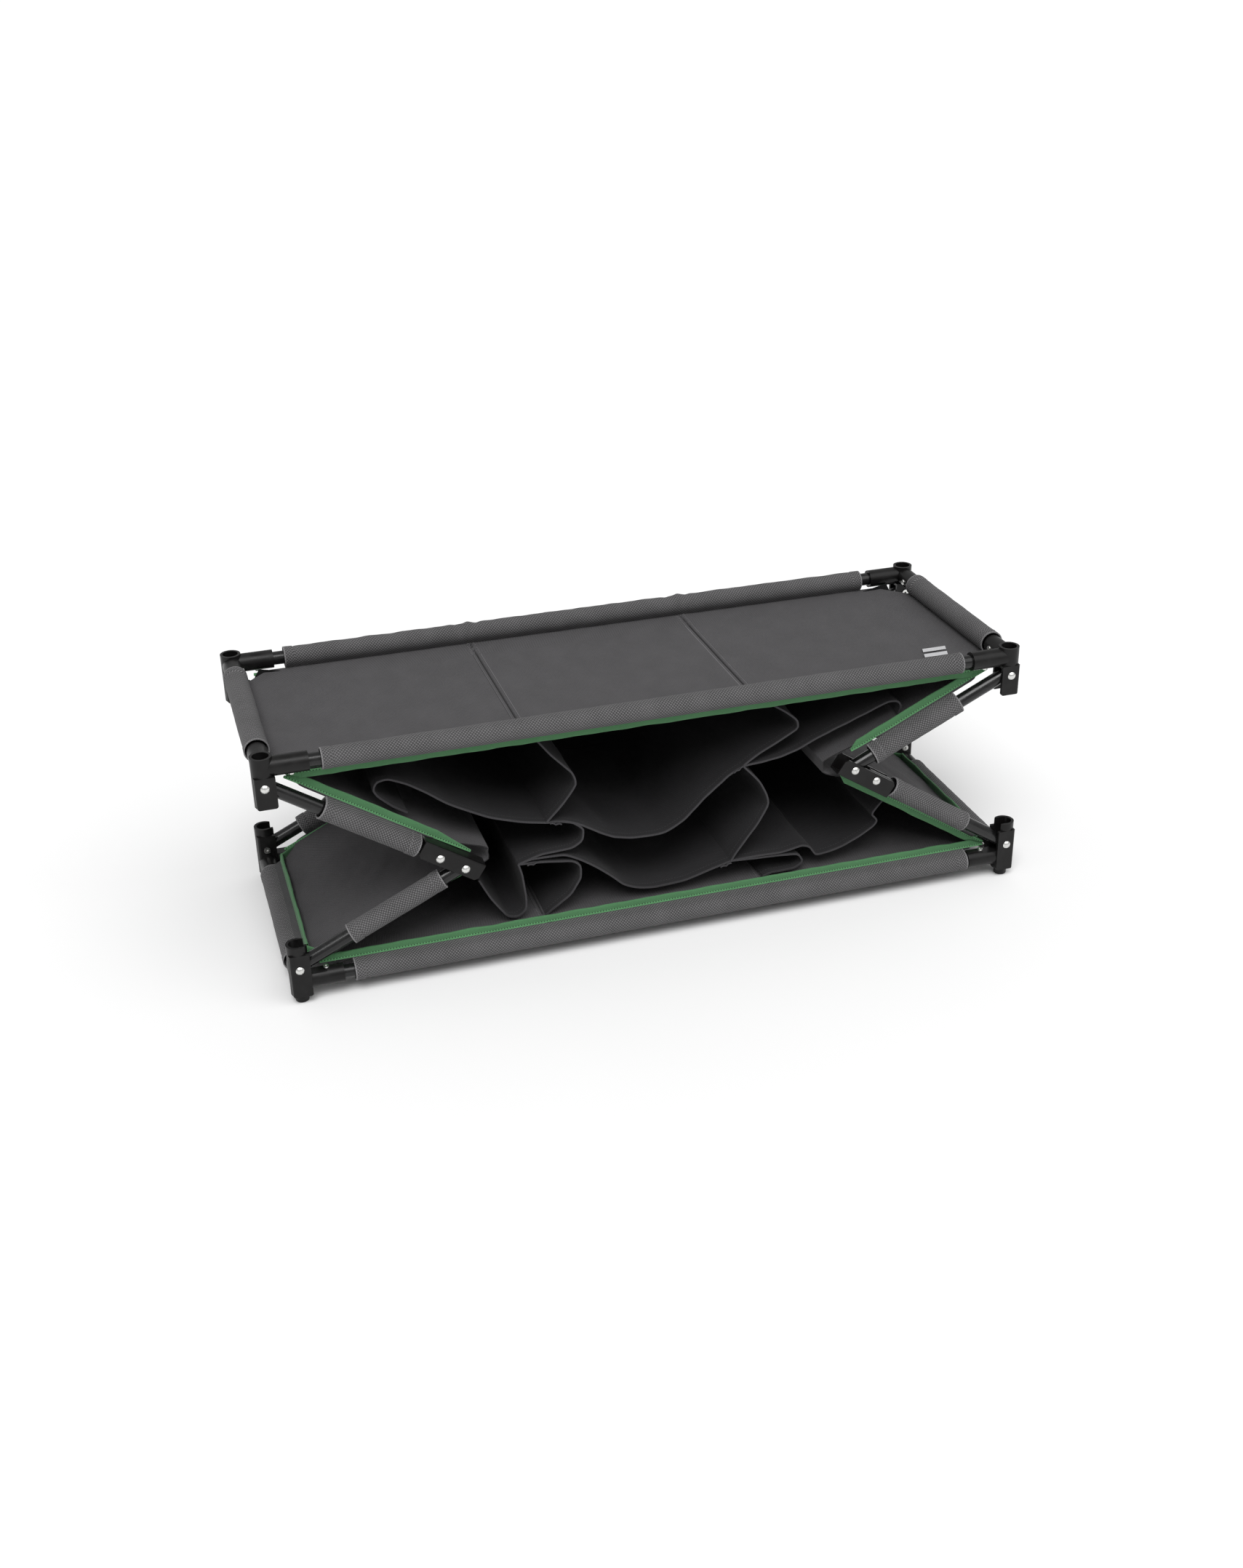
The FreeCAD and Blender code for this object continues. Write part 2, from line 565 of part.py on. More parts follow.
def octagon(half_x, half_y, cut_x, cut_y):
    """Outline of a rectangle with cut corners, as pairs of sheet expressions."""
    points = []
    for sx, sy in ((-1, -1), (1, -1), (1, 1), (-1, 1)):
        on_long = ("%d * (%s)" % (sx, cut_x), "%d * (%s)" % (sy, half_y))
        on_short = ("%d * (%s)" % (sx, half_x), "%d * (%s)" % (sy, cut_y))
        points += [on_short, on_long] if sx * sy > 0 else [on_long, on_short]
    return points


def cover(level, shift, frame_height, inner_side):
    """Sleeved fabric cover of one frame, and the edge tape that stands on its inner side."""
    cloth, offset = size("cloth"), size("cover_offset")
    low = offset if inner_side > 0 else -offset - cloth
    flap = size("tube_radius") + size("cloth_gap") + cloth / 2
    flap_low = flap if inner_side > 0 else -offset - cloth / 2
    flap_tall = "%f" % (offset + cloth / 2 - flap)
    half_x, half_y = "Sizes.width / 2", "Sizes.depth / 2"
    cut_x = "Sizes.width / 2 - Sizes.cover_cut"
    cut_y = "Sizes.depth / 2 - Sizes.cover_cut"
    sheet_piece = outline_body(level + "_cover_panel", "XY_Plane", octagon(half_x, half_y, cut_x, cut_y),
                               "Sizes.cloth", offset=low)
    pieces = [sheet_piece]
    for end_name, sy in ENDS:
        start = Vector(-HALF_WIDTH + size("sleeve_long_start"), sy * HALF_DEPTH, 0)
        long = "Sizes.width - 2 * Sizes.sleeve_long_start"
        pieces.append(sleeve("%s_sleeve_%s" % (level, end_name), start, Vector(1, 0, 0), long))
        pieces.append(box("%s_flap_%s" % (level, end_name), start + Vector(0, -cloth / 2, flap_low),
                          long, "Sizes.cloth", flap_tall))
    for side_name, sx in SIDES:
        start = Vector(sx * HALF_WIDTH, -HALF_DEPTH + size("sleeve_short_start"), 0)
        short = "Sizes.depth - 2 * Sizes.sleeve_short_start"
        pieces.append(sleeve("%s_sleeve_%s" % (level, side_name), start, Vector(0, 1, 0), short))
        pieces.append(box("%s_flap_%s" % (level, side_name), start + Vector(-cloth / 2, 0, flap_low),
                          "Sizes.cloth", short, flap_tall))
    place = Placement(Vector(shift, 0, frame_height), Rotation())
    keep(level + "_cover", joined(level + "_cover", pieces)).Placement = place

    inset = "Sizes.binding_inset"
    thick = "Sizes.cloth"
    gap, overlap = size("binding_gap"), size("overlap")
    base = low + cloth + gap if inner_side > 0 else low - gap - size("binding_height")
    outer = outline_body(level + "_binding_outer", "XY_Plane",
                         octagon("%s - %s" % (half_x, inset), "%s - %s" % (half_y, inset), cut_x,
                                 "%s - %s" % (cut_y, inset)), "Sizes.binding_height", offset=base)
    inner = outline_body(level + "_binding_inner", "XY_Plane",
                         octagon("%s - %s - %s" % (half_x, inset, thick),
                                 "%s - %s - %s" % (half_y, inset, thick), "%s - %s" % (cut_x, thick),
                                 "%s - %s - %s" % (cut_y, inset, thick)),
                         "Sizes.binding_height + 2 * Sizes.overlap", offset=base - overlap)
    keep(level + "_binding", cut(level + "_binding", outer, [inner])).Placement = place


# Direction, in the leg's own frame, in which its side panel lies, and the shelf hem's
# length and its angle to the panel, so that the hem lies level when the legs stand upright.
PANELS = {
    "left_lower": (-1, 20.0),
    "left_upper": (1, 46.0),
    "right_lower": (1, 48.0),
    "right_upper": (-1, 24.0),
}


def side_panel(leg):
    """Fabric side panel of one pair of legs: two sleeves, the panel and a shelf hem."""
    inner, hem = PANELS[leg]
    node = leg + "_side_panel"
    start, end = size("leg_sleeve_start"), size("leg_sleeve_end")
    offset, cloth = size("panel_offset"), size("cloth")
    low = offset if inner > 0 else -offset - cloth
    knee_end = "Sizes.panel_steep_end" if leg in STEEP_LEGS else "Sizes.panel_shallow_end"
    pieces = []
    for end_name, sy in ENDS:
        y = sy * HALF_DEPTH
        pieces.append(sleeve("%s_sleeve_%s" % (node, end_name), Vector(start, y, 0), Vector(1, 0, 0),
                             "Sizes.leg_sleeve_end - Sizes.leg_sleeve_start"))
        inside = size("tube_radius") + size("cloth_gap") + cloth / 2
        flap_low = inside if inner > 0 else -offset - cloth / 2
        pieces.append(box("%s_flap_%s" % (node, end_name), Vector(start, y - cloth / 2, flap_low),
                          "Sizes.leg_sleeve_end - Sizes.leg_sleeve_start", "Sizes.cloth",
                          "%f" % (offset + cloth / 2 - inside)))
    pieces.append(box(node + "_panel", Vector(start, -HALF_DEPTH - cloth / 2, low),
                      "Sizes.leg_sleeve_end - Sizes.leg_sleeve_start", "Sizes.depth + Sizes.cloth",
                      "Sizes.cloth"))
    pieces.append(box(node + "_knee", Vector(end - size("overlap"), -size("knee_half_width"), low),
                      knee_end + " - Sizes.leg_sleeve_end + Sizes.overlap",
                      "2 * Sizes.knee_half_width", "Sizes.cloth"))
    half = size("organiser_half_depth")
    hem_low = offset + cloth / 2 if inner > 0 else -offset - cloth / 2 - hem
    pieces.append(box(node + "_hem", Vector(size("shelf_level") - cloth / 2, -half, hem_low),
                      "Sizes.cloth", "2 * Sizes.organiser_half_depth", "%f" % hem))
    keep(node, joined(node, pieces)).Placement = LEG_FRAMES[leg]


def strip(node, start, angle_degrees, length, near, far):
    """Flat fabric strip from a fold line; near and far are the lengths held back."""
    half = size("organiser_half_depth")
    piece = box(node, Vector(0, 0, 0), "%f" % (length - near - far),
                "2 * Sizes.organiser_half_depth", "Sizes.cloth")
    place = Placement(start, Rotation(Vector(0, -1, 0), angle_degrees))
    piece.Placement = place * Placement(Vector(near, -half, -size("cloth") / 2), Rotation())
    return keep(node, piece)


ROWS = ("bottom", "middle", "top")


def fold_line(divider, row):
    """Point where a row of a divider starts; every row repeats a third of the leg motion."""
    x = size("divider_" + divider)
    return Vector(x + SHIFT * row / 3, 0, size("divider_foot") + LIFT * row / 3)


def dividers():
    """Two dividers, each of three rows, each row folded once towards the right."""
    relief = size("cloth_relief")
    for divider, _ in SIDES:
        for row, row_name in enumerate(ROWS):
            start = fold_line(divider, row)
            lower = size("leg_length") / 3
            bend = start + Vector(lower * math.cos(SHALLOW), 0, lower * math.sin(SHALLOW))
            strip("%s_divider_%s_row_lower" % (divider, row_name), start, size("shallow_angle"), lower,
                  relief, relief)
            strip("%s_divider_%s_row_upper" % (divider, row_name), bend, 180 - size("steep_angle"),
                  STEEP_LENGTH / 3, relief, relief)


# Side spans of the shelves: tilt at rest above level, and length.
SPANS = {
    ("lower", "left"): (-19.5, 226.0),
    ("upper", "left"): (18.5, 222.0),
    ("lower", "right"): (-18.0, 238.0),
    ("upper", "right"): (17.0, 238.0),
}


def shelves():
    """Two shelves, each a middle span and two side spans."""
    for row, shelf in ((1, "lower"), (2, "upper")):
        left, right = fold_line("left", row), fold_line("right", row)
        strip(shelf + "_shelf_middle", left, 0, right.x - left.x, size("shelf_relief"),
              size("cloth_relief"))
        for side, _ in SIDES:
            tilt, length = SPANS[(shelf, side)]
            start = left if side == "left" else right
            angle = 180 - tilt if side == "left" else tilt
            near = size("cloth_relief") if side == "left" else size("span_relief")
            strip("%s_shelf_%s" % (shelf, side), start, angle, length, near, 0)


def leg_point(leg, along, inside):
    """X and Z of a point beside a leg, along it and towards the inside from its axis."""
    return LEG_FRAMES[leg].multVec(Vector(along, 0, PANELS[leg][0] * inside))


def edge_at(lower, upper, height):
    """X of the back panel's side edge at one height, between a lower and an upper leg."""
    clear = size("back_clear")
    limit = HALF_WIDTH - size("cover_cut") - abs(SHIFT)
    ends = {leg: size("panel_steep_end" if leg in STEEP_LEGS else "panel_shallow_end")
            for leg in (lower, upper)}
    corners = [leg_point(lower, 0, clear), leg_point(lower, ends[lower], clear),
               leg_point(upper, ends[upper], clear), leg_point(upper, 0, clear)]
    for low, high in zip(corners, corners[1:]):
        if low.z <= height <= high.z:
            share = (height - low.z) / (high.z - low.z)
            return max(-limit, min(limit, low.x + share * (high.x - low.x)))
    raise ValueError("the back panel has no side edge at %.1f" % height)


def back_panel():
    """Back panel as three overlapping strips, sewn to the covers and the upper shelf."""
    cloth, height = size("cloth"), size("back_strip_height")
    floor = BOTTOM_FRAME + size("cover_offset") + 2 * cloth
    ceiling = TOP_FRAME - size("cover_offset") - 2 * cloth
    shelf = fold_line("left", 2).z
    starts = {"bottom": floor, "middle": shelf - height, "top": ceiling - height}
    knee_edges = [leg_point(leg, size("panel_steep_end" if leg in STEEP_LEGS else "panel_shallow_end"),
                            size("back_clear")) for leg in LEG_FRAMES]
    for n, name in enumerate(("bottom", "middle", "top")):
        low, high = starts[name], starts[name] + height
        heights = {"left": [low, high], "right": [low, high]}
        for leg, corner in zip(LEG_FRAMES, knee_edges):
            if low < corner.z < high:
                heights[leg.split("_")[0]].append(corner.z)
        left = [(edge_at("left_lower", "left_upper", z), z) for z in sorted(heights["left"])]
        right = [(edge_at("right_lower", "right_upper", z), z) for z in sorted(heights["right"])]
        outline = [("%f" % x, "%f" % z) for x, z in right + left[::-1]]
        node = "back_panel_" + name
        piece = outline_body(node, "XZ_Plane", outline, "Sizes.cloth",
                             offset=-(size("back_face") - n * size("back_step")), midplane=True)
        keep(node, piece)


frame("bottom", 0.0, BOTTOM_PIVOT, BOTTOM_FRAME, False)
frame("top", SHIFT, TOP_PIVOT, TOP_FRAME, True)
for pair in LEG_FRAMES:
    legs(pair)
    side_panel(pair)
cover("bottom", 0.0, BOTTOM_FRAME, 1)
cover("top", SHIFT, TOP_FRAME, -1)
dividers()
shelves()
back_panel()

doc.recompute()
for item in doc.Objects:
    if "Invalid" in item.State or "Error" in item.State:
        raise RuntimeError("%s did not build: %s" % (item.Name, item.State))
os.makedirs("parts", exist_ok=True)
for node, piece in nodes.items():
    if piece.Shape.isNull() or not piece.Shape.isValid():
        raise RuntimeError("%s has no valid shape" % node)
    piece.Shape.exportStep(os.path.join("parts", node + ".step"))
print("%d parts written" % len(nodes))
print("top pivot %.2f, shift %.2f" % (TOP_PIVOT, SHIFT))
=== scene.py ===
"""Look of the half-folded camping cupboard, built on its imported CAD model."""
import bpy
import json
import math
import numpy as np
from mathutils import Matrix, Vector


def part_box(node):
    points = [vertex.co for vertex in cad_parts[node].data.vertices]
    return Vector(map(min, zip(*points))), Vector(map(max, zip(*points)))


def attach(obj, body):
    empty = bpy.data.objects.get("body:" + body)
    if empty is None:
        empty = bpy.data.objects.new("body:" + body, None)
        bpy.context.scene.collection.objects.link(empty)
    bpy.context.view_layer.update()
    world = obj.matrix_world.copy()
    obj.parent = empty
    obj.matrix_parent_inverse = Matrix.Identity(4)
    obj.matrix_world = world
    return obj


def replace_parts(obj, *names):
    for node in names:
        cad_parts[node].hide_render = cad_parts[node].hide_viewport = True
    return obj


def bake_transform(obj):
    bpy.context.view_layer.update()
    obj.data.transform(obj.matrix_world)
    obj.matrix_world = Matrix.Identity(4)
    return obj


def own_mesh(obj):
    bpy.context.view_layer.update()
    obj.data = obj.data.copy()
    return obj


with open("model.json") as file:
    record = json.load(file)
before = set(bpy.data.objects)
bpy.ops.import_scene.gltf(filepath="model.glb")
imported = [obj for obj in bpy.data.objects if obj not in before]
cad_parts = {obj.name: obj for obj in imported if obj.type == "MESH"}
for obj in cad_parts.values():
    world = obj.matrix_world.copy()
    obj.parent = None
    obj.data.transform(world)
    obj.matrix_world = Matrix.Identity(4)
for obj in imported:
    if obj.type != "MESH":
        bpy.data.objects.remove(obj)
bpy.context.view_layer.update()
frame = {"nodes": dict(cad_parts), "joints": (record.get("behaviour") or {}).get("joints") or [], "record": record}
MM = 0.001

# ---------------------------------------------------------------------------
# Places from the record, in millimetres
# ---------------------------------------------------------------------------
JOINT = {joint["name"]: np.array(joint["pos_m"]) / MM for joint in frame["joints"]}
MOUNT = {mount["name"]: np.array(mount["pos_m"]) / MM for mount in frame["record"]["mounts"]}
HALF_WIDTH = MOUNT["foot_peg_front_right"][0]
HALF_DEPTH = MOUNT["foot_peg_back_right"][1]
BOTTOM_LEFT = JOINT["fold"]
BOTTOM_RIGHT = JOINT["right_bottom_pivot"]
TOP_LEFT = JOINT["left_top_pivot"]
TOP_RIGHT = TOP_LEFT + np.array([2 * HALF_WIDTH, 0, 0])
SHIFT = TOP_LEFT[0] - BOTTOM_LEFT[0]
BOTTOM_AXIS = sum(corner[2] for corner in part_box("bottom_side_tubes")) / 2 / MM
TOP_AXIS = sum(corner[2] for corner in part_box("top_side_tubes")) / 2 / MM
TUBE = (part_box("top_tube_front")[1][2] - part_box("top_tube_front")[0][2]) / 2 / MM

# Each leg: its frame pivot, its knee, and the body that carries it.
LEGS = {
    "left_lower": (BOTTOM_LEFT, JOINT["left_knee"], "left_lower_legs"),
    "left_upper": (TOP_LEFT, JOINT["left_knee"], "left_upper_legs"),
    "right_lower": (BOTTOM_RIGHT, JOINT["right_knee"], "right_lower_legs"),
    "right_upper": (TOP_RIGHT, JOINT["right_knee"], "right_upper_legs"),
}
CABINET = np.array([0.0, 0.0, (BOTTOM_AXIS + TOP_AXIS) / 2])

# Thickness of the fabric and of the tape.
CLOTH = 1.3
TAPE_CLOTH = 0.7

# The seam that closes each sleeve, from the tube's axis: along the panel and towards the inside.
SEAM_IN = 5.0
SEAM_DROP = 12.4

# Sleeves: their radius, the width, lift and stitched groove of their end hem, and where they start
# and end, from the corner axis or from the leg's pivot.
SLEEVE_RADIUS = TUBE + 3.0
SIDE_SLEEVE_RADIUS = TUBE + 4.8
HEM = 12.0
HEM_LIFT = 0.5
HEM_GROOVE = 0.55
SHORT_SLEEVE_START = 42.0
LONG_SLEEVE_STARTS = {"bottom": (61.0, 51.0), "top": (62.0, 62.0)}
LEG_SLEEVE = (68.0, 187.0)

# Edge tape: height from stitched edge to fold, tilt towards the panel, bend of the fold, half of
# the spread of its two layers, and the share of its height that is left at a pointed end.
TAPE_HEIGHT = 9.6
LONG_TAPE_HEIGHTS = {"bottom": 8.4, "top": 9.8}
CORNER_TAPE_HEIGHT = 7.6
TAPE_TILT = 0.12
TAPE_BEND = 1.1
TAPE_SPREAD = 1.05
TAPE_TIP = 0.25

# Where the cover tapes run: inwards from the seam, short of the corner axis along the long sides,
# further inwards on the short sides, and the length of their pointed ends.
TAPE_INSET = 2.0
LONG_TAPE_END = 24.0
SHORT_TAPE_INSET = 7.0
TAPE_POINTED = 16.0
DIAGONAL = 0.707

# Cut of the covers' corners, and half the depth of the organiser.
CORNER_CUT = 42.0
ORGANISER = 125.0
ALONG_Y = np.array([0.0, 1.0, 0.0])


# ---------------------------------------------------------------------------
# Materials
# ---------------------------------------------------------------------------
def new_material(name, roughness, metallic=0.0, sheen=0.0, coat=0.0, specular=0.5):
    """Principled material and the parts of its node tree."""
    material = bpy.data.materials.new(name)
    material.use_nodes = True
    tree = material.node_tree
    shader = tree.nodes["Principled BSDF"]
    shader.inputs["Roughness"].default_value = roughness
    shader.inputs["Metallic"].default_value = metallic
    shader.inputs["Sheen Weight"].default_value = sheen
    shader.inputs["Sheen Roughness"].default_value = 0.6
    shader.inputs["Coat Weight"].default_value = coat
    shader.inputs["Coat Roughness"].default_value = 0.12
    shader.inputs["Specular IOR Level"].default_value = specular
    return material, tree, shader


def math_node(tree, operation, first, second=None, clamp=False):
    """Math node on links or numbers; returns its output."""
    node = tree.nodes.new("ShaderNodeMath")
    node.operation = operation
    node.use_clamp = clamp
    for socket, value in zip(node.inputs, (first, second)):
        if value is None:
            continue
        if isinstance(value, (int, float)):
            socket.default_value = value
        else:
            tree.links.new(value, socket)
    return node.outputs[0]


def colour_mix(tree, factor, dark, light):
    """Mix of two colours, given as numbers or links, by a factor link."""
    node = tree.nodes.new("ShaderNodeMix")
    node.data_type = "RGBA"
    tree.links.new(factor, node.inputs[0])
    for socket, value in ((node.inputs[6], dark), (node.inputs[7], light)):
        if isinstance(value, tuple):
            socket.default_value = (*value, 1.0)
        else:
            tree.links.new(value, socket)
    return node.outputs[2]


def noise(tree, vector, scale, detail=3.0):
    """Noise factor at a scale per metre."""
    node = tree.nodes.new("ShaderNodeTexNoise")
    node.inputs["Scale"].default_value = scale
    node.inputs["Detail"].default_value = detail
    if vector is not None:
        tree.links.new(vector, node.inputs["Vector"])
    return node.outputs["Fac"]


def remap(tree, value, low, high, new_low, new_high):
    """Map Range of a value, clamped."""
    node = tree.nodes.new("ShaderNodeMapRange")
    tree.links.new(value, node.inputs["Value"])
    for socket, number in zip(("From Min", "From Max", "To Min", "To Max"), (low, high, new_low, new_high)):
        node.inputs[socket].default_value = number
    return node.outputs["Result"]


def bumped(tree, shader, height, distance, strength=1.0):
    """Bump into the shader's normal."""
    node = tree.nodes.new("ShaderNodeBump")
    node.inputs["Strength"].default_value = strength
    node.inputs["Distance"].default_value = distance
    tree.links.new(height, node.inputs["Height"])
    tree.links.new(node.outputs["Normal"], shader.inputs["Normal"])


# Stitching, in metres: one stitch, and the distances from full to none of the groove it lies in
# and of the overlocked edge, a band painted lighter on hems (partly a painted highlight) and dark in
# the middle of a cover seam (painted shade).
STITCH_TURNS = 2 * math.pi / 0.0034
GROOVE_EDGE = (0.0003, 0.0008)
OVERLOCK_EDGE = (0.0008, 0.0018)
# Colour painted into the stitch groove: painted shade in the recess.
GROOVE_PAINTED_SHADE = (0.006, 0.006, 0.006)


def woven(name, dark, light, period, rough, relief, sheen, ribbed=0.5, hem=None, stitches_along=0,
          edge_tone=1.6):
    """Plain weave of two thread colours; period is two threads, in metres.

    hem is the distance of its stitch line from the edge or seam, and edge_tone is the
    brightness of the edge or seam itself: on hems a lighter stitched band, partly a painted highlight on
    the edge, and on the cover panel's seams a dark line of painted shade.
    brightness of the edge or seam itself.
    """
    material, tree, shader = new_material(name, rough, sheen=sheen, specular=0.16)
    place = tree.nodes.new("ShaderNodeAttribute")
    place.attribute_name = "cloth"
    split = tree.nodes.new("ShaderNodeSeparateXYZ")
    tree.links.new(place.outputs["Vector"], split.inputs[0])
    turns = 2 * math.pi / period
    warp = math_node(tree, "SINE", math_node(tree, "MULTIPLY", split.outputs[0], turns))
    weft = math_node(tree, "SINE", math_node(tree, "MULTIPLY", split.outputs[1], turns))
    crossing = math_node(tree, "MULTIPLY", warp, weft)
    over = remap(tree, crossing, -0.35, 0.35, 0.0, 1.0)
    rib = math_node(tree, "ABSOLUTE", weft)
    blotch = noise(tree, place.outputs["Vector"], 26.0, 4.0)
    slub = noise(tree, place.outputs["Vector"], 900.0, 2.0)
    tone = math_node(tree, "ADD", math_node(tree, "MULTIPLY", over, 1.0 - ribbed),
                     math_node(tree, "MULTIPLY", rib, ribbed))
    tone = math_node(tree, "MULTIPLY", tone, remap(tree, slub, 0.3, 0.7, 0.75, 1.2), clamp=True)
    threads = colour_mix(tree, tone, dark, light)
    worn = colour_mix(tree, remap(tree, blotch, 0.35, 0.7, 0.0, 0.08), threads,
                      tuple(min(1.0, 1.5 * channel) for channel in light))
    height = math_node(tree, "ADD", math_node(tree, "MULTIPLY", over, 0.7),
                       math_node(tree, "MULTIPLY", slub, 0.5))
    if hem is not None:
        along, from_edge = split.outputs[stitches_along], split.outputs[2]
        off_line = math_node(tree, "ABSOLUTE", math_node(tree, "SUBTRACT", from_edge, hem))
        on_line = remap(tree, off_line, *GROOVE_EDGE, 1.0, 0.0)
        dash = remap(tree, math_node(tree, "SINE", math_node(tree, "MULTIPLY", along, STITCH_TURNS)),
                     -0.5, 0.1, 0.0, 1.0)
        stitch = math_node(tree, "MULTIPLY", on_line, dash)
        # The stitch groove is darkened with painted shade.
        worn = colour_mix(tree, math_node(tree, "MULTIPLY", on_line, 0.75), worn, GROOVE_PAINTED_SHADE)
        worn = colour_mix(tree, stitch, worn, tuple(1.5 * channel for channel in light))
        # Edge band: a lighter stitched hem, partly a painted highlight on the edge; edge_tone 0.03 on the cover
        # panel makes it a dark seam line of painted shade.
        stitched_edge_and_painted_light = remap(tree, from_edge, *OVERLOCK_EDGE, 1.0, 0.0)
        ladder = remap(tree, math_node(tree, "SINE", math_node(tree, "MULTIPLY", along, 3 * STITCH_TURNS)),
                       -0.4, 0.4, 0.35, 1.0)
        worn = colour_mix(tree, math_node(tree, "MULTIPLY", stitched_edge_and_painted_light, ladder), worn,
                          tuple(edge_tone * channel for channel in light))
        height = math_node(tree, "ADD", height, math_node(tree, "MULTIPLY", stitch, 2.0))
        height = math_node(tree, "SUBTRACT", height, math_node(tree, "MULTIPLY", on_line, 2.5))
    tree.links.new(worn, shader.inputs["Base Color"])
    tree.links.new(remap(tree, slub, 0.2, 0.8, rough - 0.1, rough + 0.1), shader.inputs["Roughness"])
    bumped(tree, shader, height, relief)
    return material


def moulded(name, colour, rough, grain, wear):
    """Moulded plastic with a fine grain and slightly greyer worn patches."""
    material, tree, shader = new_material(name, rough, specular=0.24)
    place = tree.nodes.new("ShaderNodeTexCoord").outputs["Object"]
    fine, broad = noise(tree, place, 1400.0, 2.0), noise(tree, place, 60.0, 5.0)
    patches = remap(tree, broad, 0.45, 0.75, 0.0, wear)
    grey = tuple(channel + 0.05 for channel in colour)
    tree.links.new(colour_mix(tree, patches, colour, grey), shader.inputs["Base Color"])
    tree.links.new(remap(tree, broad, 0.3, 0.7, rough - 0.08, rough + 0.1), shader.inputs["Roughness"])
    bumped(tree, shader, fine, grain, 0.6)
    return material


def coated(name, colour, rough):
    """Powder-coated steel with a faint orange peel and fine scuffs."""
    material, tree, shader = new_material(name, rough, coat=0.2, specular=0.35)
    place = tree.nodes.new("ShaderNodeTexCoord").outputs["Object"]
    peel, scuffs = noise(tree, place, 700.0, 2.0), noise(tree, place, 110.0, 6.0)
    scuffed = remap(tree, scuffs, 0.55, 0.8, 0.0, 0.5)
    tree.links.new(colour_mix(tree, scuffed, colour, (0.022, 0.022, 0.023)), shader.inputs["Base Color"])
    tree.links.new(remap(tree, scuffs, 0.4, 0.8, rough, rough + 0.22), shader.inputs["Roughness"])
    bumped(tree, shader, peel, 0.00006, 0.5)
    return material


def plated(name, colour, rough):
    """Bright plated steel with fine scratches."""
    material, tree, shader = new_material(name, rough, metallic=1.0)
    place = tree.nodes.new("ShaderNodeTexCoord").outputs["Object"]
    fine, broad = noise(tree, place, 2600.0, 3.0), noise(tree, place, 500.0, 4.0)
    dulled = tuple(0.72 * channel for channel in colour)
    tree.links.new(colour_mix(tree, remap(tree, broad, 0.4, 0.75, 0.0, 0.6), colour, dulled),
                   shader.inputs["Base Color"])
    tree.links.new(remap(tree, fine, 0.3, 0.7, rough - 0.05, rough + 0.12), shader.inputs["Roughness"])
    bumped(tree, shader, fine, 0.00004, 0.5)
    return material


# Cover fabric: edge_tone 0.03 paints the middle of each cross seam dark, as painted shade.
PANEL = woven("cover_fabric", (0.004, 0.004, 0.0043), (0.098, 0.095, 0.099), 0.0030, 0.8, 0.0002, 0.05,
              0.75, hem=0.0045, edge_tone=0.03)
SLEEVE = woven("sleeve_fabric", (0.002, 0.002, 0.0022), (0.145, 0.142, 0.145), 0.0036, 0.78, 0.0003, 0.05,
               0.35, hem=0.0115, stitches_along=1)
# Organiser fabric: its threads are set much darker than the cover's, as painted shade for the inside of the
# cupboard; its lighter edge band (edge_tone 1.9) is partly a painted highlight.
LINING_PAINTED_SHADE = woven("organiser_fabric_painted_shade", (0.003, 0.003, 0.0032), (0.030, 0.029, 0.031), 0.0026, 0.85, 0.0001,
               0.03, hem=0.0092, edge_tone=1.9)
# Back fabric: near black, painted shade standing for the deep shadow at the back of the cupboard.
BACKING_PAINTED_SHADE = woven("back_fabric_painted_shade", (0.003, 0.003, 0.003), (0.012, 0.012, 0.0125), 0.0022, 0.9, 0.0001, 0.0)
TAPE = woven("edge_tape", (0.024, 0.080, 0.031), (0.078, 0.215, 0.092), 0.0016, 0.72, 0.0001, 0.1, 0.7,
             hem=0.0021)
PRINT = woven("printed_mark", (0.36, 0.36, 0.37), (0.58, 0.58, 0.59), 0.0018, 0.6, 0.0001, 0.0)
SLOT_MATERIALS = {
    "fittings": moulded("satin_fitting", (0.0055, 0.0052, 0.0052), 0.34, 0.00007, 0.10),
    "tubes": coated("black_tube", (0.004, 0.004, 0.0042), 0.2),
    "rivets": plated("zinc_rivet", (0.74, 0.74, 0.72), 0.24),
}
for part in frame["record"]["subparts"]:
    if part["material_slot"] in SLOT_MATERIALS:
        mesh = frame["nodes"][part["node"]].data
        mesh.materials.clear()
        mesh.materials.append(SLOT_MATERIALS[part["material_slot"]])


# ---------------------------------------------------------------------------
# Cloth meshes
# ---------------------------------------------------------------------------
def travelled(points, axis):
    """Distance along one axis of a grid of points."""
    steps = np.linalg.norm(np.diff(points, axis=axis), axis=2)
    start = np.zeros_like(np.take(steps, [0], axis=axis))
    return np.concatenate([start, np.cumsum(steps, axis=axis)], axis=axis)


def path_length(path):
    """Distance along a path at each of its points."""
    return np.concatenate([[0], np.cumsum(np.linalg.norm(np.diff(path, axis=0), axis=1))])


def path_direction(path):
    """Unit direction of a path at each of its points."""
    direction = np.gradient(path, axis=0)
    return direction / np.linalg.norm(direction, axis=1, keepdims=True)


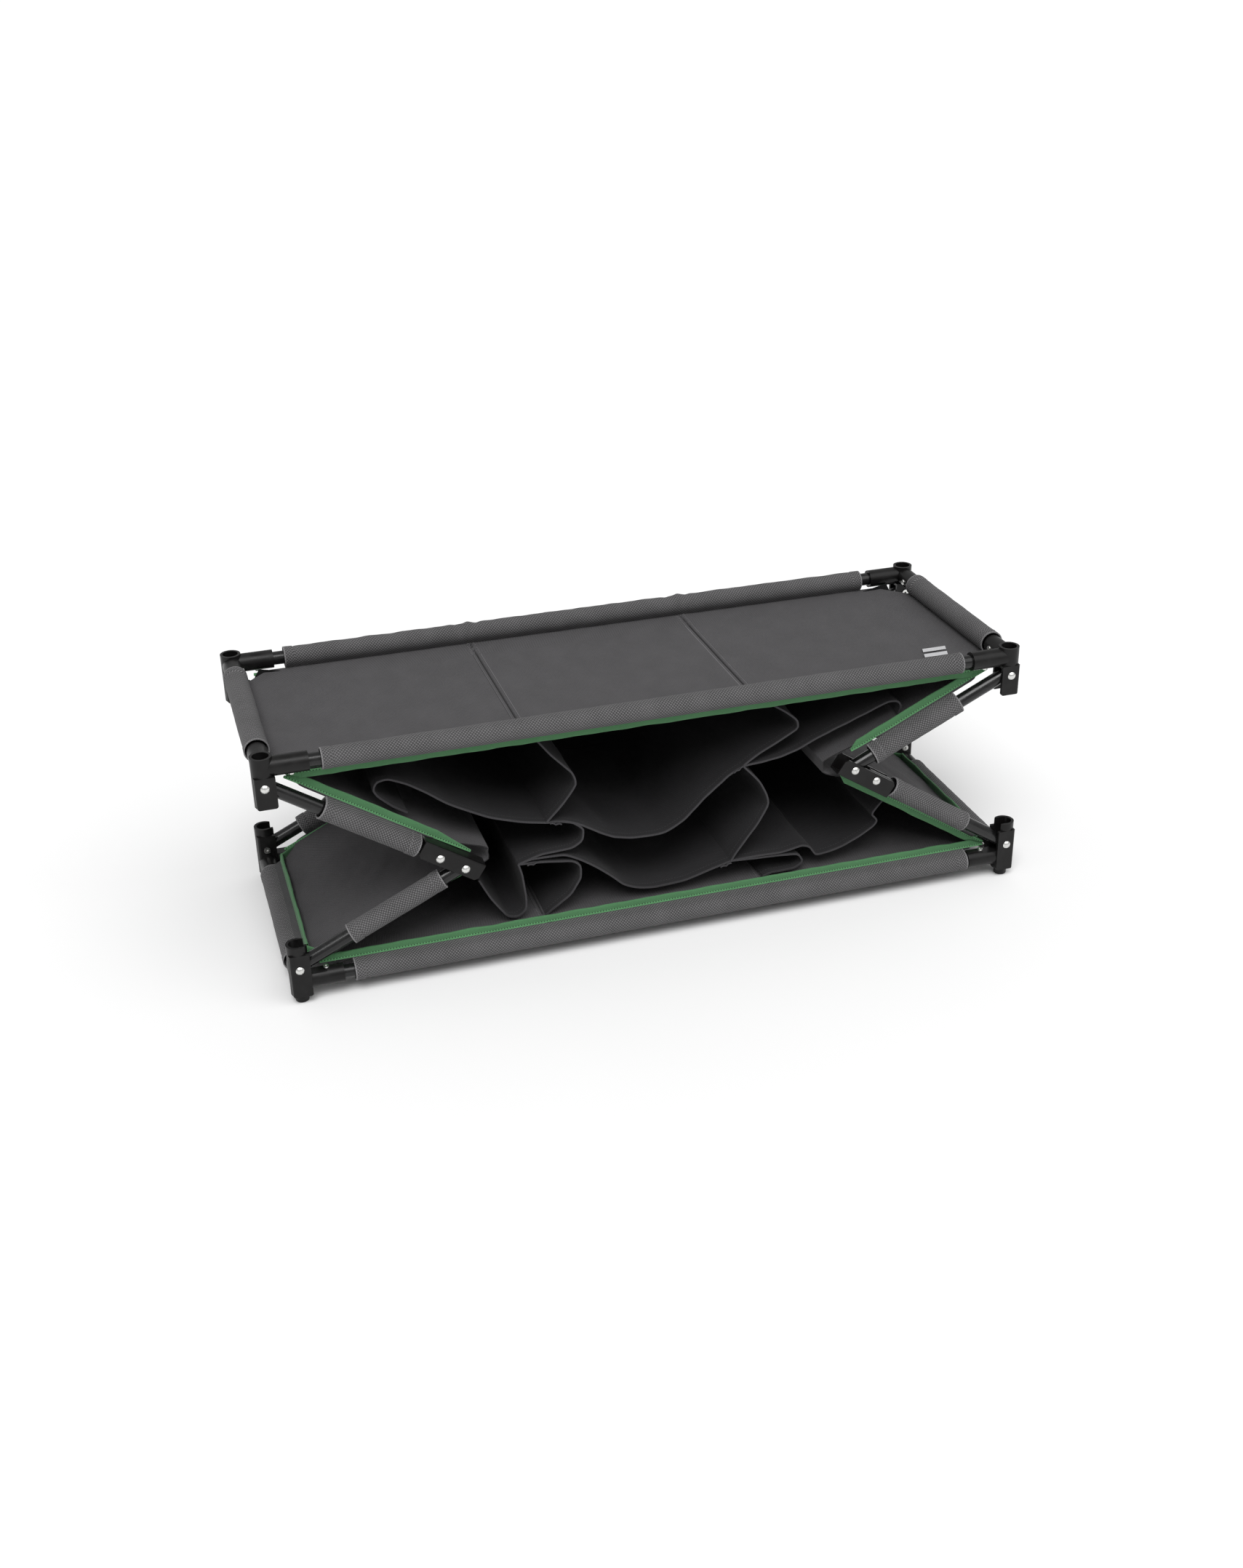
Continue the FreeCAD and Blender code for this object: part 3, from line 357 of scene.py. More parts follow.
def cloth(name, grid, material, thick=CLOTH, from_edge=None):
    """Two-sided sheet with a rim, from a grid of its middle points in millimetres.

    from_edge is each point's distance from the hemmed edge.
    """
    grid = np.asarray(grid, float)
    rows, columns = grid.shape[:2]
    normal = np.cross(np.gradient(grid, axis=0), np.gradient(grid, axis=1))
    normal /= np.maximum(np.linalg.norm(normal, axis=2, keepdims=True), 1e-9)
    half = np.broadcast_to(np.asarray(thick, float) / 2, (rows, columns))[..., None]
    points = np.concatenate([(grid + normal * half).reshape(-1, 3), (grid - normal * half).reshape(-1, 3)])
    index = np.arange(rows * columns).reshape(rows, columns)
    a, b, c, d = index[:-1, :-1], index[1:, :-1], index[1:, 1:], index[:-1, 1:]
    top = np.stack([a, b, c, d], axis=-1).reshape(-1, 4)
    under = top[:, ::-1] + rows * columns
    loop = np.concatenate([index[:, 0], index[-1, 1:], index[-2::-1, -1], index[0, -2:0:-1]])
    following = np.roll(loop, -1)
    rim = np.stack([loop, loop + rows * columns, following + rows * columns, following], axis=-1)
    mesh = bpy.data.meshes.new(name)
    mesh.from_pydata((points * MM).tolist(), [], np.concatenate([top, under, rim]).tolist())
    mesh.polygons.foreach_set("use_smooth", [True] * len(mesh.polygons))
    mesh.set_sharp_from_angle(angle=math.radians(55))
    from_edge = 1000.0 if from_edge is None else from_edge
    edge = np.broadcast_to(np.asarray(from_edge, float), (rows, columns))
    place = np.stack([travelled(grid, 0), travelled(grid, 1), edge], axis=-1)
    place = np.concatenate([place.reshape(-1, 3)] * 2) * MM
    mesh.attributes.new("cloth", "FLOAT_VECTOR", "POINT").data.foreach_set("vector", place.ravel())
    mesh.materials.append(material)
    mesh.update()
    piece = bpy.data.objects.new(name, mesh)
    bpy.context.scene.collection.objects.link(piece)
    return piece


def declared(grid):
    """Turn a sheet's grid into an array; nothing else is done with it."""
    grid = np.asarray(grid, float)


def smooth_line(points, spacing, slack=1.0):
    """Evenly spaced points on a cubic curve through 2-D or 3-D points; less slack turns sharper."""
    points = np.asarray(points, float)
    ends = np.concatenate([[2 * points[0] - points[1]], points, [2 * points[-1] - points[-2]]])
    t = np.linspace(0, 1, 24, endpoint=False)[:, None]
    dense = []
    for p0, p1, p2, p3 in zip(ends, ends[1:], ends[2:], ends[3:]):
        leaving, arriving = slack * (p2 - p0) / 2, slack * (p3 - p1) / 2
        dense.append((2 * t ** 3 - 3 * t ** 2 + 1) * p1 + (t ** 3 - 2 * t ** 2 + t) * leaving
                     + (3 * t ** 2 - 2 * t ** 3) * p2 + (t ** 3 - t ** 2) * arriving)
    dense = np.concatenate(dense + [points[-1:]])
    reach = path_length(dense)
    wanted = np.linspace(0, reach[-1], max(3, int(round(reach[-1] / spacing)) + 1))
    return np.stack([np.interp(wanted, reach, dense[:, k]) for k in range(points.shape[1])], axis=1)


def ripple(first, second, size_1, size_2, seed):
    """Smooth wave field from -1 to 1 over two distances in millimetres."""
    source = np.random.default_rng(seed)
    total = 0
    for _ in range(4):
        stretch_1, stretch_2 = source.uniform(0.6, 1.6, 2)
        phase_1, phase_2 = source.uniform(0, 2 * math.pi, 2)
        total = total + np.sin(first / size_1 * stretch_1 * 2 * math.pi + phase_1) * \
            np.sin(second / size_2 * stretch_2 * 2 * math.pi + phase_2)
    return total / 4


def waves(first, second, layers):
    """Sum of wave fields; each layer gives a height, two sizes and a seed."""
    return sum(height * ripple(first, second, *sizes, seed) for height, sizes, seed in layers)


def sleeve_section(radius):
    """Teardrop round a tube: from the seam, once round the tube, back to the seam."""
    reach = math.hypot(SEAM_IN, SEAM_DROP)
    middle = math.atan2(SEAM_DROP, SEAM_IN)
    opening = math.acos(radius / reach)
    first, last = middle - opening, middle + opening - 2 * math.pi
    turn = np.linspace(first, last, 25)
    arc = np.stack([radius * np.cos(turn), radius * np.sin(turn)], axis=1)
    seam = np.array([[SEAM_IN, SEAM_DROP]])
    lead_in = seam + (arc[:1] - seam) * np.linspace(0, 1, 4)[:-1, None]
    lead_out = arc[-1:] + (seam - arc[-1:]) * np.linspace(0, 1, 4)[1:, None]
    return np.concatenate([lead_in, arc, lead_out])


def stations(length, spacing, special):
    """Distances along a piece, with extra ones at its details."""
    places = set(np.round(np.linspace(0, length, int(length / spacing) + 1), 2))
    places |= {round(value, 2) for value in special if 0 < value < length}
    return np.array(sorted(places))


# Creases of a tuck: offset along the sleeve, slant, and height.
TUCK_CREASES = ((0.0, 0.35, 1.5), (11.0, 0.75, -1.1), (-16.0, -0.4, -0.8))


def sleeve(name, start, end, to_panel, to_inside, body, slack, seed, radius=SLEEVE_RADIUS,
           tucks=()):
    """Fabric sleeve on a tube, closed by a seam on the inner side, with hemmed ends.

    tucks are distances along it at which the fabric is pulled into slanted creases.
    """
    start, end = np.asarray(start, float), np.asarray(end, float)
    length = np.linalg.norm(end - start)
    direction = (end - start) / length
    hems = [edge + side * HEM + step for edge in (0, length) for side in (1, -1) for step in (-1.2, 0.0, 1.2)]
    near_tucks = [tuck + step for tuck in tucks for step in range(-36, 38, 2)]
    along = stations(length, 5.0, hems + near_tucks)
    section = sleeve_section(radius)
    from_end = np.minimum(along, length - along)
    hem = np.where(from_end < HEM, HEM_LIFT, 0.0) - HEM_GROOVE * np.exp(-(from_end - HEM) ** 2)
    around = np.linspace(0, 60, len(section))
    wrinkle = waves(along[:, None], around[None, :],
                    ((slack, (70.0, 45.0), seed), (0.5 * slack, (22.0, 60.0), seed + 1)))
    for tuck in tucks:
        for offset, slope, deep in TUCK_CREASES:
            away = along[:, None] - tuck - offset - slope * (around[None, :] - 30)
            wrinkle += deep * np.exp(-(away / 4.0) ** 2) * np.exp(-((around[None, :] - 34) / 22) ** 2)
    outward = section / np.linalg.norm(section, axis=1, keepdims=True)
    lift = (hem[:, None] + wrinkle + 0.3 * slack) * np.sin(np.linspace(0, math.pi, len(section))) ** 0.5
    flat = section[None] + outward[None] * lift[..., None]
    grid = start + along[:, None, None] * direction + flat[..., :1] * np.asarray(to_panel, float) \
        + flat[..., 1:] * np.asarray(to_inside, float)
    piece = cloth(name, grid, SLEEVE, from_edge=from_end[:, None])
    declared(grid)
    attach(piece, body)


def tape(name, path, fin, side, body, height=TAPE_HEIGHT, pointed=(0.0, 0.0), seed=1):
    """Folded edge tape along a path; fin points from its stitched edge to its fold.

    pointed is the length over which each end narrows to a tip.
    """
    path = smooth_line(path, 4.0)
    count = len(path)
    fin, side = np.asarray(fin, float), np.asarray(side, float)
    turn = np.linspace(0, math.pi, 7)
    legs_up = [(share * (height - TAPE_BEND), 1.0) for share in np.linspace(0, 1, 4)[:-1]]
    fold = [(height - TAPE_BEND + TAPE_BEND * math.sin(angle), math.cos(angle)) for angle in turn]
    section = legs_up + fold + [(up, -across) for up, across in reversed(legs_up)]
    reach = path_length(path)
    taper = np.ones(count)
    if pointed[0]:
        taper = np.minimum(taper, TAPE_TIP + (1 - TAPE_TIP) * reach / pointed[0])
    if pointed[1]:
        taper = np.minimum(taper, TAPE_TIP + (1 - TAPE_TIP) * (reach[-1] - reach) / pointed[1])
    taper = taper * (1 + 0.10 * ripple(reach, 0 * reach + 4.0, 60.0, 40.0, seed + 2))
    lean = 1.3 * ripple(reach, 0 * reach + 3.0, 90.0, 40.0, seed) \
        + 0.35 * ripple(reach, 0 * reach + 5.0, 23.0, 40.0, seed + 1)
    grid = np.zeros((count, len(section), 3))
    for n, (up, across) in enumerate(section):
        rise = (up * taper)[:, None] * fin
        grid[:, n] = path + rise + (across * TAPE_SPREAD + lean * up / height)[:, None] * side
    ribbon = travelled(grid, 1)
    piece = cloth(name, grid, TAPE, TAPE_CLOTH, np.minimum(ribbon, ribbon[:, -1:] - ribbon))
    declared(grid)
    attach(piece, body)
    return piece


# ---------------------------------------------------------------------------
# Covers of the two frames
# ---------------------------------------------------------------------------
# Sag of a cover: its depth, how far from the edge it is reached, its share on each level, its
# waves, and how much and how widely a cross seam holds it up.
COVER_SAG = 2.6
COVER_EDGE = 60.0
COVER_SAG_KEPT = {"top": 1, "bottom": 0.35}
COVER_WAVES = ((0.35, (160.0, 110.0), 11), (0.15, (35.0, 60.0), 12))
SEAM_HOLD, SEAM_HOLD_WIDTH = 0.45, 22.0

# Cross seam: grid lines beside it, its ridge (height, offset, width) and its groove (depth, width).
SEAM_LINES = (-9, -5, -3.5, -2, -1, 0, 1, 2, 3.5, 5, 9)
SEAM_RIDGE = (1.1, 3.2, 2.6)
SEAM_GROOVE = (1.6, 1.0)
SEAMS = {
    "top": [JOINT["left_divider_top_foot"][0] + SHIFT / 3, JOINT["right_divider_top_foot"][0] + SHIFT / 3],
    "bottom": [JOINT["left_divider_bottom_foot"][0], JOINT["right_divider_bottom_foot"][0]],
}


def cover_panel(level, shift, axis, inside):
    """Panel of a cover with cut corners, two sewn cross seams and a slight sag."""
    half_x, half_y = HALF_WIDTH - SEAM_IN, HALF_DEPTH - SEAM_IN
    inset = CORNER_CUT - SEAM_IN
    seams = [seam - shift for seam in SEAMS[level]]
    fine = [half_x + seam + step for seam in seams for step in SEAM_LINES]
    u = stations(2 * half_x, 9.0, fine) / (2 * half_x)
    v = stations(2 * half_y, 6.0, [inset, 2 * half_y - inset, 3, 2 * half_y - 3]) - half_y
    reach = half_x - np.maximum(0, np.abs(v) - (half_y - inset))
    x = (2 * u[:, None] - 1) * reach[None, :]
    y = np.broadcast_to(v[None, :], x.shape)
    edge = np.clip(np.minimum(reach[None, :] - np.abs(x), half_y - np.abs(y)) / COVER_EDGE, 0, 1)
    bays = np.ones_like(x)
    for seam in seams:
        bays *= 1 - SEAM_HOLD * np.exp(-((x - seam) / SEAM_HOLD_WIDTH) ** 2)
    sag = -COVER_SAG * np.sin(edge * math.pi / 2) * bays
    sag += waves(x, y, COVER_WAVES) * edge
    ridge, offset, ridge_width = SEAM_RIDGE
    groove, groove_width = SEAM_GROOVE
    for seam in seams:
        pucker = 1 + 0.35 * ripple(y, 0 * y + 3, 30.0, 40.0, 14)
        sag += ridge * pucker * np.exp(-((x - seam - offset) / ridge_width) ** 2)
        sag -= groove * np.exp(-((x - seam) / groove_width) ** 2)
    z = axis + inside * SEAM_DROP + sag * COVER_SAG_KEPT[level]
    grid = np.stack([x + shift, y, z], axis=-1)
    from_seam = np.min([np.abs(x - seam) for seam in seams], axis=0)
    piece = cloth(level + "_cover_panel", grid, PANEL, from_edge=from_seam)
    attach(piece, level + "_frame")
    return piece


def cover(level, shift, axis, inside):
    """All the fabric and tape of one frame."""
    body = level + "_frame"
    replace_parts(cover_panel(level, shift, axis, inside), level + "_cover")
    down = np.array([0, 0, inside])
    near, far = LONG_SLEEVE_STARTS[level]
    for end, sy, slack in (("front", -1, 0.25), ("back", 1, 0.7)):
        tucks = [seam - shift + HALF_WIDTH - near for seam in SEAMS[level]] if end == "back" else ()
        sleeve("%s_sleeve_%s" % (level, end), (shift - HALF_WIDTH + near, sy * HALF_DEPTH, axis),
               (shift + HALF_WIDTH - far, sy * HALF_DEPTH, axis), (0, -sy, 0), down, body,
               slack, 20 + sy, tucks=tucks)
    for side, sx in (("left", -1), ("right", 1)):
        reach = HALF_DEPTH - SHORT_SLEEVE_START
        x = sx * HALF_WIDTH + shift
        sleeve("%s_sleeve_%s" % (level, side), (x, -reach, axis), (x, reach, axis), (-sx, 0, 0), down,
               body, 0.5, 30 + sx, SIDE_SLEEVE_RADIUS)
    base = axis + inside * (SEAM_DROP + TAPE_CLOTH)
    inset = SEAM_IN + TAPE_INSET
    for end, sy in (("front", -1), ("back", 1)):
        y = sy * (HALF_DEPTH - inset)
        reach = HALF_WIDTH - LONG_TAPE_END
        line = [(shift + share * reach, y, base) for share in (-1, -0.5, 0, 0.5, 1)]
        binding = tape("%s_tape_%s" % (level, end), line, (0, -sy * TAPE_TILT, inside), (0, 1, 0), body,
                       LONG_TAPE_HEIGHTS[level], pointed=(TAPE_POINTED, TAPE_POINTED), seed=40 + sy)
        if end == "front":
            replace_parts(binding, level + "_binding")
    for side, sx in (("left", -1), ("right", 1)):
        x = sx * (HALF_WIDTH - inset - SHORT_TAPE_INSET) + shift
        reach = HALF_DEPTH - CORNER_CUT + SHORT_TAPE_INSET
        line = [(x, -reach, base), (x, 0, base), (x, reach, base)]
        tape("%s_tape_%s" % (level, side), line, (-sx * TAPE_TILT, 0, inside), (1, 0, 0), body,
             seed=50 + sx)
        for end, sy in (("front", -1), ("back", 1)):
            near = (x, sy * reach, base)
            far = (sx * (HALF_WIDTH - CORNER_CUT) + shift, sy * (HALF_DEPTH - inset), base)
            middle = tuple((p + q) / 2 for p, q in zip(near, far))
            tape("%s_tape_corner_%s_%s" % (level, end, side), [near, middle, far], (0, 0, inside),
                 (sx * DIAGONAL, sy * DIAGONAL, 0), body, CORNER_TAPE_HEIGHT,
                 seed=60 + sx + 2 * sy)


cover("bottom", 0.0, BOTTOM_AXIS, 1)
cover("top", SHIFT, TOP_AXIS, -1)


# ---------------------------------------------------------------------------
# Side panels, their sleeves and their tapes
# ---------------------------------------------------------------------------
def leg_frame(leg):
    """Pivot, direction down the leg, inner direction and length of one leg."""
    pivot, knee, _ = LEGS[leg]
    flat = np.array([1.0, 0.0, 1.0])
    step = (knee - pivot) * flat
    length = np.linalg.norm(step)
    direction = step / length
    inner = np.array([-direction[2], 0.0, direction[0]])
    if np.dot(CABINET - pivot, inner) < 0:
        inner = -inner
    return pivot * flat, direction, inner, length


def beside(leg, along, inside, y=0.0):
    """Point beside a leg."""
    pivot, direction, inner, _ = leg_frame(leg)
    return pivot + direction * along + inner * inside + np.array([0.0, y, 0.0])


# Side panel: where it starts from the pivot, how much its end corners are cut, and its distance
# inside the leg's axis at places along the leg.
PANEL_START = 12.0
PANEL_CUT = 26.0
PANEL_PLACES = ((PANEL_START, 13.0), (90.0, 12.6), (160.0, 12.8))
PANEL_AT_KNEE = 14.5
PANEL_WAVES = ((1.6, (120.0, 110.0), 71), (0.6, (40.0, 50.0), 72))

# Where the panel and the tape end short of the knee, on the longer leg, which carries the knuckle,
# and on the other one.
KNUCKLE_LEG = {"panel": 26.0, "tape": -2.0}
OTHER_LEG = {"panel": 30.0, "tape": 9.0}

# The loose fold at the knee: how far inwards and up it reaches, half its height, how much narrower
# it is there, from which distance and over which length.
KNEE_REACH = 30.0
KNEE_RISE = {"left": 2.0, "right": -1.0}
KNEE_HALF_FOLD = 9.0
KNEE_NARROWING = 8.5
KNEE_NEAR, KNEE_FADE = 74.0, 14.0

# Leg tapes: distances along the leg (the tape's end follows) and inside its axis, distance from the
# sleeve's seam, the usual lean and tip, and the legs that differ.
LEG_TAPE_INSET = 4.0
TAPE_PLACES = (18.0, 60.0, 120.0, 180.0)
TAPE_BOWS = (12.4, 12.8, 13.2, 12.9, 14.0)
USUAL_LEAN, TAPE_LEAN = 0.15, {"left_lower": 0.93}
USUAL_POINT, TAPE_POINT = 12.0, {"left_upper": 48.0}
SLEEVE_FIRST = {"left_lower_back": 50.0}


def knee_ends(leg):
    """How far short of the knee the panel and the tape of a leg end."""
    side = leg.split("_")[0]
    longer = max((side + "_upper", side + "_lower"), key=lambda name: leg_frame(name)[3])
    return KNUCKLE_LEG if leg == longer else OTHER_LEG


def side_line(side, apex, out):
    """Profile of a side panel: down the upper leg, inwards to the fold at the knee, down the lower leg."""
    half_fold = np.array([0.0, 0.0, KNEE_HALF_FOLD])
    turn_back = np.array([-out * 2.0, 0.0, 0.0])
    upper, lower = [[beside(leg, along, inside) for along, inside in PANEL_PLACES]
                    + [beside(leg, leg_frame(leg)[3] - knee_ends(leg)["panel"], PANEL_AT_KNEE)]
                    for leg in (side + "_upper", side + "_lower")]
    return upper + [apex + turn_back + half_fold, apex, apex + turn_back - half_fold] + lower[::-1]


def side_panel(side):
    """Side panel on both legs of one side, with a loose fold at the knee."""
    upper, lower = side + "_upper", side + "_lower"
    out = 1.0 if side == "left" else -1.0
    apex = JOINT[side + "_knee"] * np.array([1.0, 0.0, 1.0]) \
        + np.array([out * KNEE_REACH, 0.0, KNEE_RISE[side]])
    path = smooth_line(side_line(side, apex, out), 5.0)
    knee_gap = np.linalg.norm(path - apex, axis=1)
    reach = HALF_DEPTH - SEAM_IN - KNEE_NARROWING * np.clip((KNEE_NEAR - knee_gap) / KNEE_FADE, 0, 1)
    from_frame = np.minimum(np.linalg.norm(path - path[0], axis=1), np.linalg.norm(path - path[-1], axis=1))
    reach = reach - np.maximum(0.0, PANEL_CUT - from_frame)
    share = np.linspace(-1, 1, 45)
    grid = path[:, None, :] + share[None, :, None] * reach[:, None, None] * ALONG_Y
    direction = path_direction(path)
    normal = np.stack([-direction[:, 2], 0 * direction[:, 0], direction[:, 0]], axis=1)
    belly = np.cos(share * math.pi / 2)[None, :] * np.clip(knee_gap / 60, 0.3, 1)[:, None]
    wave = waves(path_length(path)[:, None], share[None, :] * HALF_DEPTH, PANEL_WAVES)
    grid = grid + (belly * wave)[..., None] * normal[:, None, :]
    piece = cloth(side + "_side_cloth", grid, PANEL)
    declared(grid)
    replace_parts(piece, upper + "_side_panel", lower + "_side_panel")
    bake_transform(piece)


def leg_fabric(leg):
    """Sleeves and edge tapes on the front and the back leg tube of one leg pair."""
    _, _, inner, length = leg_frame(leg)
    lean = TAPE_LEAN.get(leg, USUAL_LEAN)
    upright = math.sqrt(1 - lean ** 2)
    pointed = (TAPE_POINTED, TAPE_POINT.get(leg, USUAL_POINT))
    places = (*TAPE_PLACES, length - knee_ends(leg)["tape"])
    for end, sy in (("front", -1), ("back", 1)):
        y = sy * HALF_DEPTH
        first = SLEEVE_FIRST.get("%s_%s" % (leg, end), LEG_SLEEVE[0])
        sleeve("%s_sleeve_%s" % (leg, end), beside(leg, first, 0, y), beside(leg, LEG_SLEEVE[1], 0, y),
               (0, -sy, 0), inner, LEGS[leg][2], 0.4, 80 + sy)
        inset = sy * (HALF_DEPTH - SEAM_IN - LEG_TAPE_INSET)
        line = [beside(leg, along, bow, inset) for along, bow in zip(places, TAPE_BOWS)]
        fin = inner * upright - ALONG_Y * sy * lean
        across = ALONG_Y * upright + inner * sy * lean
        tape("%s_tape_%s" % (leg, end), line, fin, across, LEGS[leg][2],
             pointed=pointed, seed=90 + sy)


for side in ("left", "right"):
    side_panel(side)
    leg_fabric(side + "_upper")
    leg_fabric(side + "_lower")


# ---------------------------------------------------------------------------
# Organiser: dividers and shelves
# ---------------------------------------------------------------------------
FRONT, BACK = -ORGANISER, ORGANISER

# Slack of the curves through a profile, the hem along the front edge and its added thickness, the
# share of a sheet that its sewn ends hold still, and the depth at which its waves are full.
FABRIC_SLACK = 0.55
FRONT_HEM = 10.0
HEM_EXTRA = 0.8
PINNED_SHARE = 0.25
FULL_WAVES = 60.0


def hanging(line, seed, swing):
    """Grid and thickness of a fabric sheet that hangs through the depth of the cupboard.

    line is its profile, pinned at both ends, and swing is the height of its waves.
    """
    path = smooth_line(line, 4.0, FABRIC_SLACK)
    count = len(path)
    hem_steps = {FRONT + FRONT_HEM - 1.0, FRONT + FRONT_HEM + 1.0}
    depth = np.array(sorted(set(np.round(np.linspace(FRONT, BACK, 32), 2)) | hem_steps))
    distance = path_length(path)
    direction = path_direction(path)
    normal = np.stack([-direction[:, 1], direction[:, 0]], axis=1)
    share = distance / distance[-1]
    hold = np.clip(share / PINNED_SHARE, 0, 1) * np.clip((1 - share) / PINNED_SHARE, 0, 1)
    inward = np.clip((depth - FRONT) / FULL_WAVES, 0, 1)
    wave = waves(distance[:, None], depth[None, :],
                 ((swing, (90.0, 150.0), seed), (0.35 * swing, (45.0, 60.0), seed + 1)))
    wave = wave * hold[:, None] * (0.35 + 0.65 * inward[None, :])
    hem_edge = 0.5 * ripple(distance, 0 * distance + 2, 30.0, 10.0, seed + 2)
    grid = np.zeros((count, len(depth), 3))
    grid[..., 0] = path[:, :1] + normal[:, :1] * wave
    grid[..., 1] = depth[None, :] + hem_edge[:, None] * np.exp(-(depth[None, :] - FRONT) / 8)
    grid[..., 2] = path[:, 1:] + normal[:, 1:] * wave
    thick = np.where(depth < FRONT + FRONT_HEM, CLOTH + HEM_EXTRA, CLOTH)
    return grid, np.broadcast_to(thick[None, :], (count, len(depth)))


def hung(name, line, seed, swing):
    """One hanging sheet of the organiser."""
    grid, thick = hanging(line, seed, swing)
    piece = cloth(name, grid, LINING_PAINTED_SHADE, thick, from_edge=grid[..., 1] - FRONT)
    declared(grid)
    return piece


# Profiles in the X-Z plane, from bottom to top or from the divider outwards.
FLOOR = BOTTOM_AXIS + SEAM_DROP + 2.0
CEILING = TOP_AXIS - SEAM_DROP - 3.0
LEFT_NODES = [(-144, FLOOR), (-174, 114), (-139, 162), (-155, CEILING)]
RIGHT_NODES = [(126, FLOOR), (85, 70), (99, 194), (115, CEILING)]
ROW_LINES = {
    ("left", "bottom"): [LEFT_NODES[0], (-136, 47), (-114, 63), (-101, 82), (-101, 98), (-110, 106),
                         (-144, 112), LEFT_NODES[1]],
    ("left", "middle"): [LEFT_NODES[1], (-146, 122), (-112, 124), (-98, 132), (-96, 146), (-107, 156),
                         (-124, 161), LEFT_NODES[2]],
    ("left", "top"): [LEFT_NODES[2], (-131, 170), (-116, 186), (-103, 205), (-107, 220), (-131, 247),
                      LEFT_NODES[3]],
    ("right", "bottom"): [RIGHT_NODES[0], (136, 44), (166, 45), (177, 52), (171, 63), (150, 66),
                          (118, 68), RIGHT_NODES[1]],
    ("right", "middle"): [RIGHT_NODES[1], (93, 82), (118, 115), (131, 138), (129, 152), (120, 170),
                          RIGHT_NODES[2]],
    ("right", "top"): [RIGHT_NODES[2], (118, 207), (150, 223), (166, 232), (165, 243), (150, 256),
                       RIGHT_NODES[3]],
}
SHELF_LINES = {
    "lower": [LEFT_NODES[1], (-158, 118), (-120, 116), (-100, 107), (-78, 90), (-50, 65), (-30, 56),
              (-10, 53), (28, 55), (62, 64), RIGHT_NODES[1]],
    "upper": [LEFT_NODES[2], (-118, 160), (-96, 151), (-60, 129), (-35, 124), (2, 124), (26, 137),
              (56, 164), (80, 184), RIGHT_NODES[2]],
}
SPAN_LINES = {
    ("lower", "left"): [LEFT_NODES[1], (-170, 98), (-167, 72), (-168, 54), (-177, 46), (-190, 49),
                        (-208, 75), (-221, 102)],
    ("upper", "left"): [LEFT_NODES[2], (-171, 169), (-207, 182), (-250, 206), (-292, 237), (-314, 247),
                        (-327, 245), (-331, 236), (-326, 227), (-311, 213), (-296, 203)],
    ("lower", "right"): [RIGHT_NODES[1], (118, 71), (150, 70), (176, 74), (186, 70), (194, 59), (205, 59),
                         (228, 64), (252, 74), (269, 85), (273, 92), (266, 101), (274, 112), (286, 124)],
    ("upper", "right"): [RIGHT_NODES[2], (123, 196), (146, 199), (166, 204), (190, 215), (220, 226),
                         (256, 240), (280, 248), (292, 247), (297, 240), (294, 231)],
}

# Height of the waves in each kind of sheet, and the grid rows beside a fold at which a wall is cut
# in two.
WALL_SWING = 2.5
SHELF_SWING = 3.5
SPAN_SWING = 2.0
FOLD_ROWS = 4


def divider_row(divider, row, seed):
    """Wall of one compartment row in two halves; the upper half rides on its divider's upper body, except for left
    walls under a shelf, which stay put like the lower half.
    """
    grid, thick = hanging(ROW_LINES[(divider, row)], seed, WALL_SWING)
    apex = int(np.argmax(grid[:, 0, 0]))
    cut = min(apex + FOLD_ROWS, len(grid) - FOLD_ROWS)
    bodies = ["%s_divider_%s_%s" % (divider, row, half) for half in ("lower", "upper")]
    edge = grid[..., 1] - FRONT
    lower = cloth("%s_%s_wall_lower" % (divider, row), grid[:cut + 1], LINING_PAINTED_SHADE, thick[:cut + 1],
                  from_edge=edge[:cut + 1])
    declared(grid[:cut + 1])
    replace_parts(lower, "%s_divider_%s_row_lower" % (divider, row))
    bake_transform(lower)
    upper = cloth("%s_%s_wall_upper" % (divider, row), grid[cut:], LINING_PAINTED_SHADE, thick[cut:],
                  from_edge=edge[cut:])
    declared(grid[cut:])
    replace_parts(upper, "%s_divider_%s_row_upper" % (divider, row))
    shelf = {"bottom": "lower_shelf", "middle": "upper_shelf"}.get(row)
    if divider == "left" and shelf:
        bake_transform(upper)
    else:
        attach(upper, bodies[1])


for divider_number, divider in enumerate(("left", "right")):
    for row_number, row in enumerate(("bottom", "middle", "top")):
        divider_row(divider, row, 100 + 10 * divider_number + 3 * row_number)

for shelf_number, shelf in enumerate(("lower", "upper")):
    middle = hung(shelf + "_shelf_cloth", SHELF_LINES[shelf], 140 + 5 * shelf_number, SHELF_SWING)
    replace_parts(middle, shelf + "_shelf_middle")
    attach(middle, shelf + "_shelf")
    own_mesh(middle)
    for side_number, side in enumerate(("left", "right")):
        span = hung("%s_shelf_%s_cloth" % (shelf, side), SPAN_LINES[(shelf, side)],
                    160 + 7 * shelf_number + 3 * side_number, SPAN_SWING)
        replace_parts(span, "%s_shelf_%s" % (shelf, side))
        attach(span, "%s_shelf_%s_span" % (shelf, side))
        if shelf == "upper":
            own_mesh(span)


# Gathered seam ends: half their length, their depth, and how far they stand out at the front.
TACK_HALF = 7.0
TACK_DEPTH = 12.0
TACK_FORWARD = 1.5


